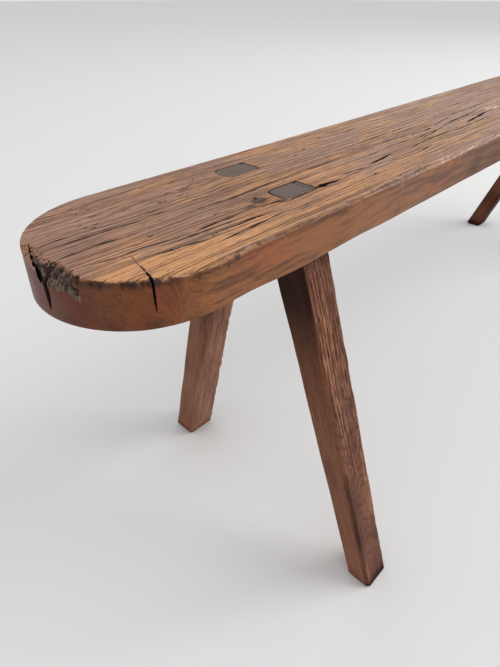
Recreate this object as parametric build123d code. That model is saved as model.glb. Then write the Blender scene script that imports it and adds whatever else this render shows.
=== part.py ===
"""A long, narrow country bench in oak: one thick plank on four staked, splayed legs.

Millimetres. +X runs along the plank, +Y across it and +Z up. The origin is on the floor, under the middle
of the plank. The left end is the one at -X, and the front is the side at -Y.
"""

from build123d import *

import os
from math import sqrt

# Whole bench
BENCH_LENGTH = 1720.0
SEAT_HEIGHT = 472.0

# Plank, with both ends rounded in plan as half ellipses. The width is the one at the ends: the back edge
# swells between them, by the shares listed from left to right along its straight part.
PLANK_WIDTH = 178.0
PLANK_THICKNESS = 38.5
END_DEPTH = 93.0
TOP_ARRIS = 3.0
BOTTOM_ARRIS = 1.2
BACK_SWELL = 12.5
SWELL_PLACE_SHARES = (-1.0, -0.73, -0.47, -0.1, 0.2, 0.51, 0.77, 1.0)
SWELL_SHARES = (0.0, 0.08, 0.27, 0.72, 1.0, 0.76, 0.32, 0.0)

# Mortises, right through the plank and cut at the slope of the legs. They are set out to the middle of
# the tenon, from the tip of the plank's end and from its long edges.
FRONT_MORTISE_INSET = 229.0
BACK_MORTISE_INSET = 235.5
FRONT_MORTISE_EDGE = 57.0
BACK_MORTISE_EDGE = 43.5
TENON_LENGTH = 38.0
TENON_WIDTH = 27.0
TENON_SET_DOWN = 0.5

# Wedges, driven beside the tenons on the side towards the middle of the bench. The play is what the
# mortise is longer than the tenon at the underside, where the wedge doesn't reach.
WEDGE_HEAD = 5.6
WEDGE_WIDTH = 23.0
WEDGE_DEPTH = 32.0
MORTISE_PLAY = 0.7

# Legs, square in section with planed-off corners. No two hand-made ones are alike: the left front leg is
# deep at its shoulder, which stands out past its tenon, and slim at the foot. The others have stout feet.
FRONT_SHOULDER = (45.0, 40.0)
FRONT_FOOT = (41.5, 33.5)
FRONT_SHOULDER_SHIFT = 3.0
STOUT_SHOULDER = (44.0, 36.5)
STOUT_FOOT = (47.0, 40.5)
STOUT_SHOULDER_SHIFT = 1.5
LEG_ARRIS = 3.5
FOOT_BEVEL = 3.0

# Where the feet stand: how far from the middle of the bench, and how far each leg rakes in along it
LEFT_FRONT_STANCE = 184.8
LEFT_BACK_STANCE = 181.8
RIGHT_STANCE = 198.0
FRONT_RAKE = 11.5
BACK_RAKE = 21.0

# Top edge broken away at the tip of the left end, listed from its front to its back
BREAK_INSET = 12.0
BREAK_DROP = 14.0
BREAK_FRONT = 44.0
BREAK_BACK = 36.0
BREAK_STATION_SHARES = (-1.0, -0.86, -0.64, -0.42, -0.2, 0.0, 0.5, 0.8, 1.0)
BREAK_INSET_SHARES = (1.2, 1.2, 1.2, 1.25, 0.92, 0.83, 0.96, 1.08, 1.1)
BREAK_DROP_SHARES = (0.1, 1.0, 0.75, 0.85, 1.0, 0.4, 0.3, 0.25, 0.05)

# Drying check in the end grain of the left end, open under the broken edge
END_CHECK_WIDTH = 2.6
END_CHECK_LENGTH = 17.0
END_CHECK_DROP = 28.0
END_CHECK_OFFSET = 10.0

# Crack across the front corner of the left end
CORNER_CRACK_WIDTH = 1.6
CORNER_CRACK_LENGTH = 40.0
CORNER_CRACK_DROP = 30.0
CORNER_CRACK_INSET = 53.0
CORNER_CRACK_OFFSET = 39.0
CORNER_CRACK_ANGLE = -105.0

# Open splits along the grain of the top
TENON_SPLIT_LENGTH = 40.0
TENON_SPLIT_WIDTH = 5.0
TENON_SPLIT_DEPTH = 14.0
FAR_SPLIT_LENGTH = 48.0
FAR_SPLIT_WIDTH = 2.4
FAR_SPLIT_DEPTH = 8.0
FAR_SPLIT_INSET = 377.0
FAR_SPLIT_OFFSET = 37.0
FAR_SPLIT_ANGLE = 6.0
KNOT_SPLIT_LENGTH = 96.0
KNOT_SPLIT_WIDTH = 5.0
KNOT_SPLIT_DEPTH = 12.0
KNOT_SPLIT_INSET = 649.0
KNOT_SPLIT_OFFSET = 26.0
KNOT_SPLIT_ANGLE = 5.5

# How far a cutting shape runs past what it cuts
OVERRUN = 6.0

# Worked out from the sizes above
LEFT_TIP = -BENCH_LENGTH / 2
UNDERSIDE = SEAT_HEIGHT - PLANK_THICKNESS
HALF_WIDTH = PLANK_WIDTH / 2
WEDGE_TAPER = (WEDGE_HEAD - MORTISE_PLAY) / PLANK_THICKNESS

# Each leg: the end of the bench (-1 left, 1 right), the side (-1 front, 1 back), where its mortise is
# from the tip and from that side's edge, its stance and its rake
LEGS = {
    "left_front": (-1, -1, FRONT_MORTISE_INSET, FRONT_MORTISE_EDGE, LEFT_FRONT_STANCE, FRONT_RAKE),
    "left_back": (-1, 1, BACK_MORTISE_INSET, BACK_MORTISE_EDGE, LEFT_BACK_STANCE, BACK_RAKE),
    "right_front": (1, -1, FRONT_MORTISE_INSET, FRONT_MORTISE_EDGE, RIGHT_STANCE, FRONT_RAKE),
    "right_back": (1, 1, BACK_MORTISE_INSET, BACK_MORTISE_EDGE, RIGHT_STANCE, BACK_RAKE),
}


def axis_at(name, height):
    """Where the middle line of a tenon is at a height: it points at the middle of the leg's foot."""
    end, side, inset, edge, stance, rake = LEGS[name]
    mortise_x = end * (BENCH_LENGTH / 2 - inset)
    mortise_y = side * (HALF_WIDTH - edge)
    foot_x = mortise_x - end * rake
    foot_y = side * stance
    share = height / SEAT_HEIGHT
    return foot_x + (mortise_x - foot_x) * share, foot_y + (mortise_y - foot_y) * share


def wedge_at(height):
    """Thickness of the wedge, and so the spare length of the mortise, at a height."""
    return WEDGE_HEAD - WEDGE_TAPER * (SEAT_HEIGHT - height)


def bar(levels):
    """A straight-sided bar through level sections, each (x, y, height, length, width, arris)."""
    sections = []
    for x, y, height, length, width, arris in levels:
        face = Rectangle(length, width)
        if arris:
            face = chamfer(face.vertices(), arris)
        sections.append(Pos(x, y, height) * face)
    parts = [loft(pair, ruled=True) for pair in zip(sections, sections[1:])]
    whole = parts[0]
    for part in parts[1:]:
        whole += part
    return whole


def mortise(name):
    """The hole for one tenon and its wedge, flared towards the top on the wedge's side."""
    end = LEGS[name][0]
    levels = []
    for height in (UNDERSIDE - OVERRUN, SEAT_HEIGHT + OVERRUN):
        x, y = axis_at(name, height)
        spare = wedge_at(height)
        levels.append((x - end * spare / 2, y, height, TENON_LENGTH + spare, TENON_WIDTH, 0))
    return bar(levels)


def leg(name):
    """A leg with its tenon: the body ends in a shoulder that bears on the underside of the plank."""
    end = LEGS[name][0]
    slim = name == "left_front"
    shoulder, foot = (FRONT_SHOULDER, FRONT_FOOT) if slim else (STOUT_SHOULDER, STOUT_FOOT)
    shift = FRONT_SHOULDER_SHIFT if slim else STOUT_SHOULDER_SHIFT
    foot_x, foot_y = axis_at(name, 0)
    bevel_x, bevel_y = axis_at(name, FOOT_BEVEL)
    top_x, top_y = axis_at(name, UNDERSIDE)
    sole = (foot[0] - 2 * FOOT_BEVEL, foot[1] - 2 * FOOT_BEVEL)
    body = bar(
        [
            (foot_x, foot_y, 0, *sole, LEG_ARRIS),
            (bevel_x, bevel_y, FOOT_BEVEL, *foot, LEG_ARRIS),
            (top_x + end * shift, top_y, UNDERSIDE, *shoulder, LEG_ARRIS),
        ]
    )
    levels = []
    for height in (UNDERSIDE - OVERRUN, SEAT_HEIGHT - TENON_SET_DOWN):
        levels.append((*axis_at(name, height), height, TENON_LENGTH, TENON_WIDTH, 0))
    return body + bar(levels)


def wedge(name):
    """The thin oak wedge beside one tenon, flush with it at the top."""
    end = LEGS[name][0]
    levels = []
    for height in (SEAT_HEIGHT - WEDGE_DEPTH, SEAT_HEIGHT - TENON_SET_DOWN):
        x, y = axis_at(name, height)
        thick = wedge_at(height)
        levels.append((x - end * (TENON_LENGTH + thick) / 2, y, height, thick, WEDGE_WIDTH, 0))
    return bar(levels)


def board():
    """The plank before it is cut: its sides, rounded ends and worn top edges."""
    straight = BENCH_LENGTH / 2 - END_DEPTH
    swell = []
    for place, share in zip(SWELL_PLACE_SHARES, SWELL_SHARES):
        swell.append((straight * place, HALF_WIDTH + BACK_SWELL * share))
    back = Spline(*swell, tangents=((1, 0), (1, 0)))
    front = Polyline(swell[-1], (straight, -HALF_WIDTH), (-straight, -HALF_WIDTH), swell[0])
    outline = make_face(back + front)
    for end in (-1, 1):
        outline += Pos(end * straight, 0) * Ellipse(END_DEPTH, HALF_WIDTH)
    solid = Pos(0, 0, UNDERSIDE) * extrude(outline, PLANK_THICKNESS)
    solid = fillet(solid.faces().sort_by(Axis.Z)[-1].edges(), TOP_ARRIS)
    return fillet(solid.faces().sort_by(Axis.Z)[0].edges(), BOTTOM_ARRIS)


def broken_edge():
    """What has crumbled from the top edge at the tip of the left end: a run of slanting facets."""
    sections = []
    for station, inset, drop in zip(BREAK_STATION_SHARES, BREAK_INSET_SHARES, BREAK_DROP_SHARES):
        y = station * (BREAK_FRONT if station < 0 else BREAK_BACK)
        tip = LEFT_TIP + END_DEPTH * (1 - sqrt(1 - (y / HALF_WIDTH) ** 2))
        crest = max(LEFT_TIP + BREAK_INSET * inset, tip + TOP_ARRIS)
        steepness = BREAK_DROP * drop / (crest - tip)
        outside = tip - OVERRUN
        corners = [
            (outside, y, SEAT_HEIGHT - steepness * (crest - outside)),
            (crest, y, SEAT_HEIGHT),
            (crest, y, SEAT_HEIGHT + OVERRUN),
            (outside, y, SEAT_HEIGHT + OVERRUN),
        ]
        sections.append(make_face(Polyline(*corners, close=True)))
    cut = loft(sections[:2], ruled=True)
    for pair in zip(sections[1:], sections[2:]):
        cut += loft(pair, ruled=True)
    return cut


def end_check():
    """A check in the end grain: a narrow wedge of air, from the top part of the way down."""
    half = END_CHECK_WIDTH / 2
    corners = [(-OVERRUN, -half), (END_CHECK_LENGTH, 0), (-OVERRUN, half)]
    face = make_face(Polyline(*corners, close=True))
    place = Pos(LEFT_TIP, -END_CHECK_OFFSET, SEAT_HEIGHT - END_CHECK_DROP)
    return place * extrude(face, END_CHECK_DROP + OVERRUN)


def corner_crack():
    """A crack that starts at nothing on the top and deepens towards the front of the left end."""
    corners = [
        (0, OVERRUN),
        (0, 0),
        (CORNER_CRACK_LENGTH, -CORNER_CRACK_DROP),
        (CORNER_CRACK_LENGTH, OVERRUN),
    ]
    face = make_face(Plane.XZ * Polyline(*corners, close=True))
    blade = extrude(face, CORNER_CRACK_WIDTH / 2, both=True)
    place = Pos(LEFT_TIP + CORNER_CRACK_INSET, -CORNER_CRACK_OFFSET, SEAT_HEIGHT)
    return place * Rot(0, 0, CORNER_CRACK_ANGLE) * blade


def split(middle_x, middle_y, length, width, depth, angle):
    """An open split along the grain: a pointed lens in plan, of one depth."""
    ends = (-length / 2, 0), (length / 2, 0)
    front = ThreePointArc(ends[0], (0, -width / 2), ends[1])
    back = ThreePointArc(ends[1], (0, width / 2), ends[0])
    lens = extrude(make_face(front + back), depth + OVERRUN)
    return Pos(middle_x, middle_y, SEAT_HEIGHT - depth) * Rot(0, 0, angle) * lens


def plank():
    """The finished plank: mortised, and worn and split as an old board is."""
    solid = board()
    for name in LEGS:
        solid -= mortise(name)
    tenon_x, tenon_y = axis_at("left_front", SEAT_HEIGHT)
    tenon_split_x = tenon_x + TENON_LENGTH / 2 + WEDGE_HEAD + TENON_SPLIT_LENGTH / 2
    tenon_split_y = tenon_y - TENON_WIDTH / 2 + TENON_SPLIT_WIDTH / 2
    cuts = [
        broken_edge(),
        end_check(),
        corner_crack(),
        split(tenon_split_x, tenon_split_y, TENON_SPLIT_LENGTH, TENON_SPLIT_WIDTH, TENON_SPLIT_DEPTH, 0),
        split(
            LEFT_TIP + FAR_SPLIT_INSET,
            -FAR_SPLIT_OFFSET,
            FAR_SPLIT_LENGTH,
            FAR_SPLIT_WIDTH,
            FAR_SPLIT_DEPTH,
            FAR_SPLIT_ANGLE,
        ),
        split(
            LEFT_TIP + KNOT_SPLIT_INSET,
            -KNOT_SPLIT_OFFSET,
            KNOT_SPLIT_LENGTH,
            KNOT_SPLIT_WIDTH,
            KNOT_SPLIT_DEPTH,
            KNOT_SPLIT_ANGLE,
        ),
    ]
    for cut in cuts:
        solid -= cut
    return solid


def main():
    os.makedirs("parts", exist_ok=True)
    pieces = {"seat_plank": plank()}
    for name in LEGS:
        pieces["leg_" + name] = leg(name)
        pieces["wedge_" + name] = wedge(name)
    for name, piece in pieces.items():
        piece.label = name
        export_step(piece, f"parts/{name}.step")


main()
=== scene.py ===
"""The long oak bench as it looks: a worn plank on four staked legs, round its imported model.

Metres. +X runs along the plank, +Y across it and +Z up. The worn end is the left one, at -X, and the
photographed side is the front, at -Y. Places along the plank are measured from the tip of its left end.
"""

import math
from collections import namedtuple

import bmesh
import bpy
import numpy as np
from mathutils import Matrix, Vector, noise


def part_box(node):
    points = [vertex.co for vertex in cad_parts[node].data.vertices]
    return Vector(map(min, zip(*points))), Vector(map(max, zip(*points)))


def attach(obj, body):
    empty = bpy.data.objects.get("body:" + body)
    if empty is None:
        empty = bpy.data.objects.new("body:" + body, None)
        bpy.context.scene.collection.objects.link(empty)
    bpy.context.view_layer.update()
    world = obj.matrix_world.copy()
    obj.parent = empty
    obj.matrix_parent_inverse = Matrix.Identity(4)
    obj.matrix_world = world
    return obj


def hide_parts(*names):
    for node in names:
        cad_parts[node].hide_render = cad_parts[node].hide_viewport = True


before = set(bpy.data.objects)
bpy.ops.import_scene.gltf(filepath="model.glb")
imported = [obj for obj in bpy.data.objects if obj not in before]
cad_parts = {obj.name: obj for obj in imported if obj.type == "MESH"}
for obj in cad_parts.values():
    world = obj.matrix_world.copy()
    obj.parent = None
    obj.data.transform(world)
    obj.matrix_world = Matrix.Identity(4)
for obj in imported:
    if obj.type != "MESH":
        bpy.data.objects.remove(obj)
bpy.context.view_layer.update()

# The plank, from the frame
plank_low, plank_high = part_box("seat_plank")
TOP = plank_high.z
UNDERSIDE = plank_low.z
TIP = plank_low.x
HALF_LENGTH = plank_high.x
HALF_WIDTH = -plank_low.y
END_DEPTH = 0.093
STRAIGHT = HALF_LENGTH - END_DEPTH

# How far the back edge swells out, along the straight part of the plank from its left to its right end
BACK_SWELL = 0.0125
SWELL = (
    (-1.0, 0.0),
    (-0.73, 0.08),
    (-0.47, 0.27),
    (-0.1, 0.72),
    (0.2, 1.0),
    (0.51, 0.76),
    (0.77, 0.32),
    (1.0, 0.0),
)

# How finely that swell is drawn, and over how many of its steps to either side it is softened
SWELL_STEPS = 401
SWELL_SOFTNESS = 20

# How finely the plank is drawn along its front and its back: up to how far from the tip, and the step
FRONT_STEPS = ((0.46, 0.0021), (0.74, 0.0045), (1.64, 0.0125))
BACK_STEPS = ((0.62, 0.006), (1.64, 0.014))

# How many columns go round each end, how much closer they stand where the left one is broken, and how far
# that reaches from the middle
LEFT_END_COLUMNS = 240
RIGHT_END_COLUMNS = 70
LEFT_END_CROWDING = 2.6
CROWDED = 0.046

# How many rows go from the middle of the top over the edge, and where those on the underside lie
TOP_ROWS = 68
FLAT_ROWS = 4
ARRIS_ROWS = 14
SIDE_ROWS = 8
LOWER_ARRIS_ROWS = 2
UNDER_SHARES = (0.9, 0.8, 0.66, 0.4, 0.2, 0.04)

# The plank's edges: the zone along them that is drawn closely, how far each arris is rounded, and how far
# the outline wanders in
EDGE_ZONE = 0.0145
FRONT_ARRIS = 0.0034
BACK_ARRIS = 0.0006
LOWER_ARRIS = 0.0005
EDGE_WAVE = 0.0003

# Drifting patterns of the edges: how long each is, and its seed
EDGE_DRIFT = (0.16, 1.5)
EDGE_RIPPLE = (0.03, 3.5)
ARRIS_DRIFT = (0.045, 2.5)
LOWER_DRIFT = (0.07, 7.5)
DENTS = (0.009, 5.5)
CHIPS = (0.0042, 8.5)
SPLINTERS = (0.0019, 12.5)

# How deep the dents, chips and splinters of the top arris go
DENT_DEPTH = 0.0013
CHIP_DEPTH = 0.003
SPLINTER_DEPTH = 0.001

# Across the plank, from its middle towards its front: where an effect on the front edge sets in
FRONT_EDGE = (0.0, 0.04)
FRONT_HALF = (-0.02, 0.03)

# From the tip: where the front arris grows rounder, and between which places it is chewed
ARRIS_GROWS = (0.14, 0.36)
CHEWED_FROM = (0.01, 0.05)
CHEWED_TO = (0.2, 0.24)

# How far the top of the left end has worn back: how much, where across it, and over which width
TIP_WEAR = 0.0013
TIP_WEAR_MIDDLE = 0.008
TIP_WEAR_WIDTH = 0.05

# Where the lower front edge has worn away: from the tip, and how far up
LOWER_WEAR = (
    (0.036, 0.0),
    (0.062, 0.001),
    (0.095, 0.0026),
    (0.116, 0.0027),
    (0.135, 0.002),
    (0.178, -0.0004),
    (0.215, 0.0005),
    (0.237, 0.0009),
    (0.268, 0.0013),
    (0.303, 0.0003),
    (0.42, 0.0),
)
LOWER_WEAR_REACH = 0.03

# Bruises on the front arris: from the tip, half the length of the dent, and its depth
BRUISES = (
    (0.052, 0.0045, 0.0022),
    (0.068, 0.006, 0.0034),
    (0.081, 0.0035, 0.0016),
    (0.094, 0.0045, 0.0026),
    (0.113, 0.0075, 0.0034),
    (0.131, 0.004, 0.0023),
    (0.15, 0.007, 0.0014),
    (0.196, 0.006, 0.0013),
    (0.255, 0.008, 0.0015),
    (0.337, 0.0035, 0.0036),
    (0.439, 0.004, 0.0028),
    (0.52, 0.009, 0.0016),
    (0.64, 0.006, 0.0021),
    (0.83, 0.009, 0.0018),
    (1.01, 0.005, 0.0024),
    (1.24, 0.008, 0.0019),
    (1.48, 0.005, 0.0026),
)

# The broken top edge at the tip: across the plank, from the tip to the crest, and how far down it goes
BREAK = (
    (-0.0418, 0.0113, 0.013),
    (-0.0392, 0.011, 0.0138),
    (-0.035, 0.0122, 0.0112),
    (-0.0312, 0.0154, 0.0096),
    (-0.0275, 0.0134, 0.0088),
    (-0.0185, 0.0144, 0.0106),
    (-0.0105, 0.0148, 0.0104),
    (-0.0085, 0.011, 0.0085),
    (-0.0014, 0.01, 0.0034),
    (0.012, 0.0114, 0.0028),
    (0.02, 0.012, 0.0024),
    (0.0296, 0.0126, 0.0016),
    (0.0336, 0.0124, 0.0004),
)

# The broken face: how ragged its crest and its foot are, how deep its pits go, and about how high it is
CREST_RAGGED = 0.0021
FOOT_RAGGED = 0.0016
PIT_DEPTH = 0.005
BREAK_HEIGHT = 0.009

# Patterns of the broken face: how long each is, and its seed
CREST_TEETH = (0.0031, 4.5)
CREST_SPLINTERS = (0.0011, 6.5)
FOOT_TEETH = (0.0035, 9.5)
PITS = (0.0042, 0.0)
FINE_PITS = (0.0014, 7.5)
TORN_EDGE = (0.003, 37.5)

# How far the torn look runs past the crest and the foot of the break, and how softly it ends
TORN_BEHIND = 0.0016
TORN_BELOW = 0.006
TORN_ABOVE = 0.001
TORN_FADE = 0.0018

# The front end of the break runs down aslant: from the middle of the plank, and how far below the top
TORN_SLANT_ACROSS = (0.03, 0.0418)
TORN_SLANT_DOWN = (0.0004, 0.0115)
TORN_SLANT_RAGGED = 0.0015
TORN_SLANT_FADE = 0.0014

# The sliver beyond the edge split isn't torn: across the plank, and from the split
SLIVER_ACROSS = (-0.011, -0.007)
SLIVER_FADE = (-0.0006, 0.0008)

# Splits along the grain of the top: start and end, each from the tip and from the middle of the plank,
# then the width, the depth and where along it the split is widest
SPLITS = (
    ((0.2536, -0.044), (0.291, -0.0462), 0.0056, 0.016, 0.25),
    ((0.345, -0.0405), (0.408, -0.0338), 0.0034, 0.01, 0.5),
    ((0.598, -0.0308), (0.715, -0.0192), 0.004, 0.014, 0.36),
    ((0.205, -0.0424), (0.17, -0.0372), 0.0022, 0.007, 0.1),
    ((0.499, -0.018), (0.543, -0.0212), 0.0014, 0.005, 0.5),
    ((0.04, 0.015), (0.093, 0.0118), 0.0011, 0.004, 0.4),
    ((0.93, 0.033), (0.994, 0.0362), 0.0018, 0.007, 0.4),
    ((1.19, -0.012), (1.27, -0.008), 0.0021, 0.008, 0.6),
    ((1.438, 0.052), (1.472, 0.054), 0.0016, 0.006, 0.4),
)

# Long furrows that have opened deep along the top: points from the tip and from the middle
LONG_FURROWS = (
    ((0.119, -0.0053), (0.141, -0.0055), (0.177, -0.0073), (0.23, -0.0057), (0.277, -0.005)),
    ((0.263, -0.004), (0.29, -0.0048), (0.314, -0.0062), (0.34, -0.0045), (0.374, -0.001)),
    ((0.404, -0.0016), (0.441, -0.0043), (0.472, -0.0059), (0.501, -0.0105), (0.554, -0.0129)),
    ((0.012, 0.012), (0.035, 0.0113), (0.062, 0.0105), (0.091, 0.0093), (0.11, 0.0098)),
    ((0.012, 0.0178), (0.025, 0.0215), (0.04, 0.021)),
    ((0.011, -0.0067), (0.031, -0.0076), (0.045, -0.0064), (0.073, -0.0086), (0.096, -0.0088)),
    ((0.023, -0.0288), (0.044, -0.0336), (0.069, -0.0328), (0.088, -0.0366), (0.111, -0.0382)),
    ((0.111, -0.0382), (0.142, -0.038), (0.16, -0.0378)),
    ((0.059, -0.0467), (0.076, -0.0503), (0.098, -0.0537), (0.114, -0.0574)),
    ((0.076, -0.0412), (0.105, -0.0429), (0.13, -0.044), (0.156, -0.0455)),
    ((0.107, -0.0654), (0.131, -0.0638), (0.152, -0.0632), (0.19, -0.0606)),
    ((0.121, -0.0511), (0.142, -0.0526), (0.165, -0.0528), (0.191, -0.056)),
    ((0.094, 0.0209), (0.106, 0.0178), (0.128, 0.0152), (0.142, 0.0145)),
    ((0.102, 0.0123), (0.114, 0.0098), (0.129, 0.0071)),
    ((0.35, 0.0213), (0.396, 0.015), (0.429, 0.0148), (0.482, 0.0156), (0.534, 0.0133)),
    ((0.294, -0.0384), (0.327, -0.0412), (0.346, -0.046)),
    ((0.365, -0.0477), (0.423, -0.053), (0.471, -0.05)),
    ((0.403, -0.0365), (0.44, -0.0385), (0.486, -0.0355), (0.525, -0.0376)),
    ((0.205, -0.049), (0.232, -0.0466), (0.248, -0.0478)),
    ((0.452, -0.03), (0.484, -0.0285), (0.545, -0.02), (0.595, -0.0126), (0.641, -0.0112), (0.722, -0.0043)),
    ((0.451, -0.0172), (0.544, -0.009), (0.59, -0.0015), (0.635, 0.006), (0.694, 0.0071), (0.815, 0.013)),
    ((0.456, -0.0327), (0.527, -0.0363), (0.56, -0.0388), (0.62, -0.0377), (0.693, -0.0351)),
    ((0.358, -0.0216), (0.424, -0.0185), (0.488, -0.0222), (0.533, -0.0217)),
    ((0.64, 0.035), (0.72, 0.0368), (0.79, 0.0341)),
    ((0.742, -0.044), (0.8, -0.0462), (0.88, -0.0437), (0.93, -0.045)),
    ((0.86, 0.006), (0.93, 0.0022), (1.01, 0.0041), (1.09, 0.0012)),
    ((1.12, 0.047), (1.2, 0.0492), (1.28, 0.0466)),
    ((1.06, -0.03), (1.15, -0.0322), (1.24, -0.0291)),
    ((1.33, 0.015), (1.42, 0.0132), (1.49, 0.0163)),
    ((1.38, -0.054), (1.47, -0.0516), (1.56, -0.053)),
    ((1.54, 0.002), (1.62, -0.0015), (1.7, 0.0008)),
)

# Short curved furrows in the curly grain at the back: from the tip, from the middle, length and bend
FLECKS = (
    (0.055, 0.034, 0.008, 0.0024),
    (0.056, 0.0265, 0.006, -0.002),
    (0.06, 0.0225, 0.009, 0.0012),
    (0.066, 0.0285, 0.007, 0.0022),
    (0.076, 0.064, 0.009, -0.0018),
    (0.079, 0.054, 0.007, 0.0026),
    (0.068, 0.072, 0.008, 0.0016),
    (0.093, 0.047, 0.011, 0.0014),
    (0.099, 0.035, 0.009, -0.0022),
    (0.113, 0.061, 0.01, 0.002),
    (0.121, 0.042, 0.008, -0.0016),
    (0.131, 0.027, 0.011, 0.002),
    (0.14, 0.071, 0.009, 0.0016),
    (0.149, 0.042, 0.011, -0.0024),
    (0.153, 0.03, 0.012, 0.0022),
    (0.156, 0.0225, 0.01, -0.0014),
    (0.165, 0.045, 0.009, 0.002),
    (0.169, 0.064, 0.012, 0.0018),
    (0.179, 0.033, 0.009, -0.002),
    (0.187, 0.056, 0.01, 0.0016),
    (0.296, 0.056, 0.011, 0.0014),
    (0.318, 0.035, 0.01, -0.0016),
    (0.346, 0.06, 0.012, 0.0016),
    (0.445, 0.056, 0.014, 0.0018),
    (0.521, 0.04, 0.013, -0.0014),
    (0.65, 0.07, 0.016, 0.0018),
    (0.083, -0.0205, 0.008, 0.0012),
    (0.146, -0.025, 0.009, -0.0012),
    (0.213, -0.064, 0.01, 0.0012),
    (0.326, -0.062, 0.011, -0.001),
)

# Furrows: how wide and deep, how their sides flare, the steps that they are drawn in, how far they waver,
# and over what length that and their width change. A fleck has a share of the width and finer steps.
LONG_FURROW_WIDTH = 0.0021
LONG_FURROW_DEPTH = 0.0024
FURROW_FLARE = 2.4
FURROW_STEP = 0.004
FURROW_WAVER = 0.0006
FURROW_WAVER_LENGTH = 0.014
FURROW_OPENS_OVER = 0.009
FLECK_WIDTH_SHARE = 0.55
FLECK_STEP = 0.0013

# How far the cutting shapes stand out above the top, and out beyond the wood: at the end and the mortises,
# and at the nicks
SPLIT_ABOVE = 0.003
FURROW_ABOVE = 0.002
CUT_BEYOND = 0.004
NICK_OUT = 0.003

# Splits: how many steps each is drawn in, how deep its upright lips are, and over what length its ragged
# sides and its line change
SPLIT_STEPS = 17
SPLIT_LIP = 0.0012
SPLIT_RAGGED_OVER = 0.004
SPLIT_WANDERS_OVER = 0.012

# Over what length the lean of the nicks changes, and how far down a hole's rim is worn
NICK_LEANS_OVER = 0.0037
HOLE_LIP = 0.0007

# The crack across the front of the left end, from the top down the end face: from the tip, from the
# middle, half the width and the depth
CORNER_CRACK = (
    (0.0538, -0.0385, 0.0001, 0.0006),
    (0.0522, -0.043, 0.0002, 0.002),
    (0.0503, -0.0495, 0.0003, 0.005),
    (0.0492, -0.056, 0.0003, 0.01),
    (0.0474, -0.064, 0.0005, 0.018),
    (0.046, -0.069, 0.0008, 0.024),
    (0.0445, -0.074, 0.0009, 0.027),
    (0.0425, -0.082, 0.0009, 0.028),
)

# The split along the left of the break, where a sliver of the end has come away: from the tip, from the
# middle, half the width and the depth
EDGE_SPLIT = (
    (0.0128, 0.0304, 0.0003, 0.003),
    (0.0112, 0.0264, 0.0006, 0.006),
    (0.0088, 0.0205, 0.0009, 0.0085),
    (0.0064, 0.014, 0.0008, 0.01),
    (0.0044, 0.0075, 0.0011, 0.0125),
    (0.003, 0.001, 0.0012, 0.014),
    (0.002, -0.005, 0.0015, 0.016),
    (0.0014, -0.01, 0.0012, 0.017),
)

# The drying check in the end grain at the tip: height below the top, from the middle, half the width
# and how far in it goes
END_CHECK = (
    (-0.004, -0.0078, 0.0012, 0.011),
    (0.002, -0.0086, 0.0022, 0.013),
    (0.007, -0.0096, 0.003, 0.015),
    (0.013, -0.0106, 0.0036, 0.015),
    (0.018, -0.011, 0.0036, 0.014),
    (0.023, -0.0111, 0.0032, 0.012),
    (0.028, -0.011, 0.0024, 0.009),
    (0.033, -0.0109, 0.0006, 0.003),
)

# Nicks in the front arris: from the tip, half the width, how far in and how far down
NICKS = (
    (0.0672, 0.0012, 0.004, 0.0016),
    (0.0705, 0.0009, 0.003, 0.0024),
    (0.0746, 0.0014, 0.0046, 0.0018),
    (0.0836, 0.0008, 0.0024, 0.002),
    (0.0896, 0.0012, 0.003, 0.0022),
    (0.1048, 0.001, 0.0022, 0.0026),
    (0.1183, 0.0008, 0.0018, 0.003),
    (0.1292, 0.0012, 0.0026, 0.0018),
    (0.157, 0.001, 0.0022, 0.002),
    (0.2236, 0.001, 0.0022, 0.0018),
    (0.2801, 0.0013, 0.004, 0.003),
    (0.3299, 0.0011, 0.005, 0.003),
    (0.3397, 0.001, 0.0026, 0.0058),
    (0.4371, 0.0013, 0.0056, 0.0044),
    (0.59, 0.0014, 0.005, 0.004),
    (0.81, 0.0016, 0.006, 0.004),
    (1.15, 0.0014, 0.0056, 0.0036),
    (1.42, 0.0016, 0.006, 0.004),
)

# Dark smudges that run down the front of the end from its arris: from the tip, half the width, how far
# down and how strong
SMUDGES = (
    (0.0158, 0.0006, 0.0075, 0.55),
    (0.0172, 0.0004, 0.005, 0.45),
    (0.0187, 0.0006, 0.0095, 0.65),
    (0.0205, 0.0005, 0.0055, 0.45),
    (0.0288, 0.0007, 0.0085, 0.6),
    (0.0301, 0.0005, 0.0055, 0.5),
    (0.0321, 0.0008, 0.011, 0.7),
    (0.0341, 0.0006, 0.007, 0.55),
    (0.0388, 0.001, 0.006, 0.55),
    (0.0412, 0.0008, 0.008, 0.6),
    (0.0436, 0.0009, 0.006, 0.6),
    (0.048, 0.0008, 0.004, 0.45),
    (0.0556, 0.0009, 0.0062, 0.6),
    (0.0583, 0.0007, 0.0045, 0.45),
    (0.069, 0.0012, 0.004, 0.45),
    (0.079, 0.0012, 0.0036, 0.4),
    (0.1046, 0.001, 0.006, 0.45),
    (0.131, 0.001, 0.004, 0.4),
)

# Round holes left by insects and nails in the top: from the tip, from the middle, radius and depth
HOLES = (
    (0.344, 0.0445, 0.0018, 0.006),
    (0.397, 0.0635, 0.0016, 0.005),
    (0.066, 0.058, 0.0011, 0.005),
    (0.193, -0.0234, 0.0016, 0.004),
    (0.612, 0.018, 0.001, 0.005),
    (0.503, -0.063, 0.0008, 0.004),
    (0.58, -0.0245, 0.0009, 0.004),
    (0.812, 0.041, 0.0009, 0.005),
    (0.961, -0.052, 0.0011, 0.006),
    (1.134, 0.009, 0.0008, 0.004),
    (1.322, -0.037, 0.001, 0.005),
    (1.585, 0.026, 0.0011, 0.006),
)

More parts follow.
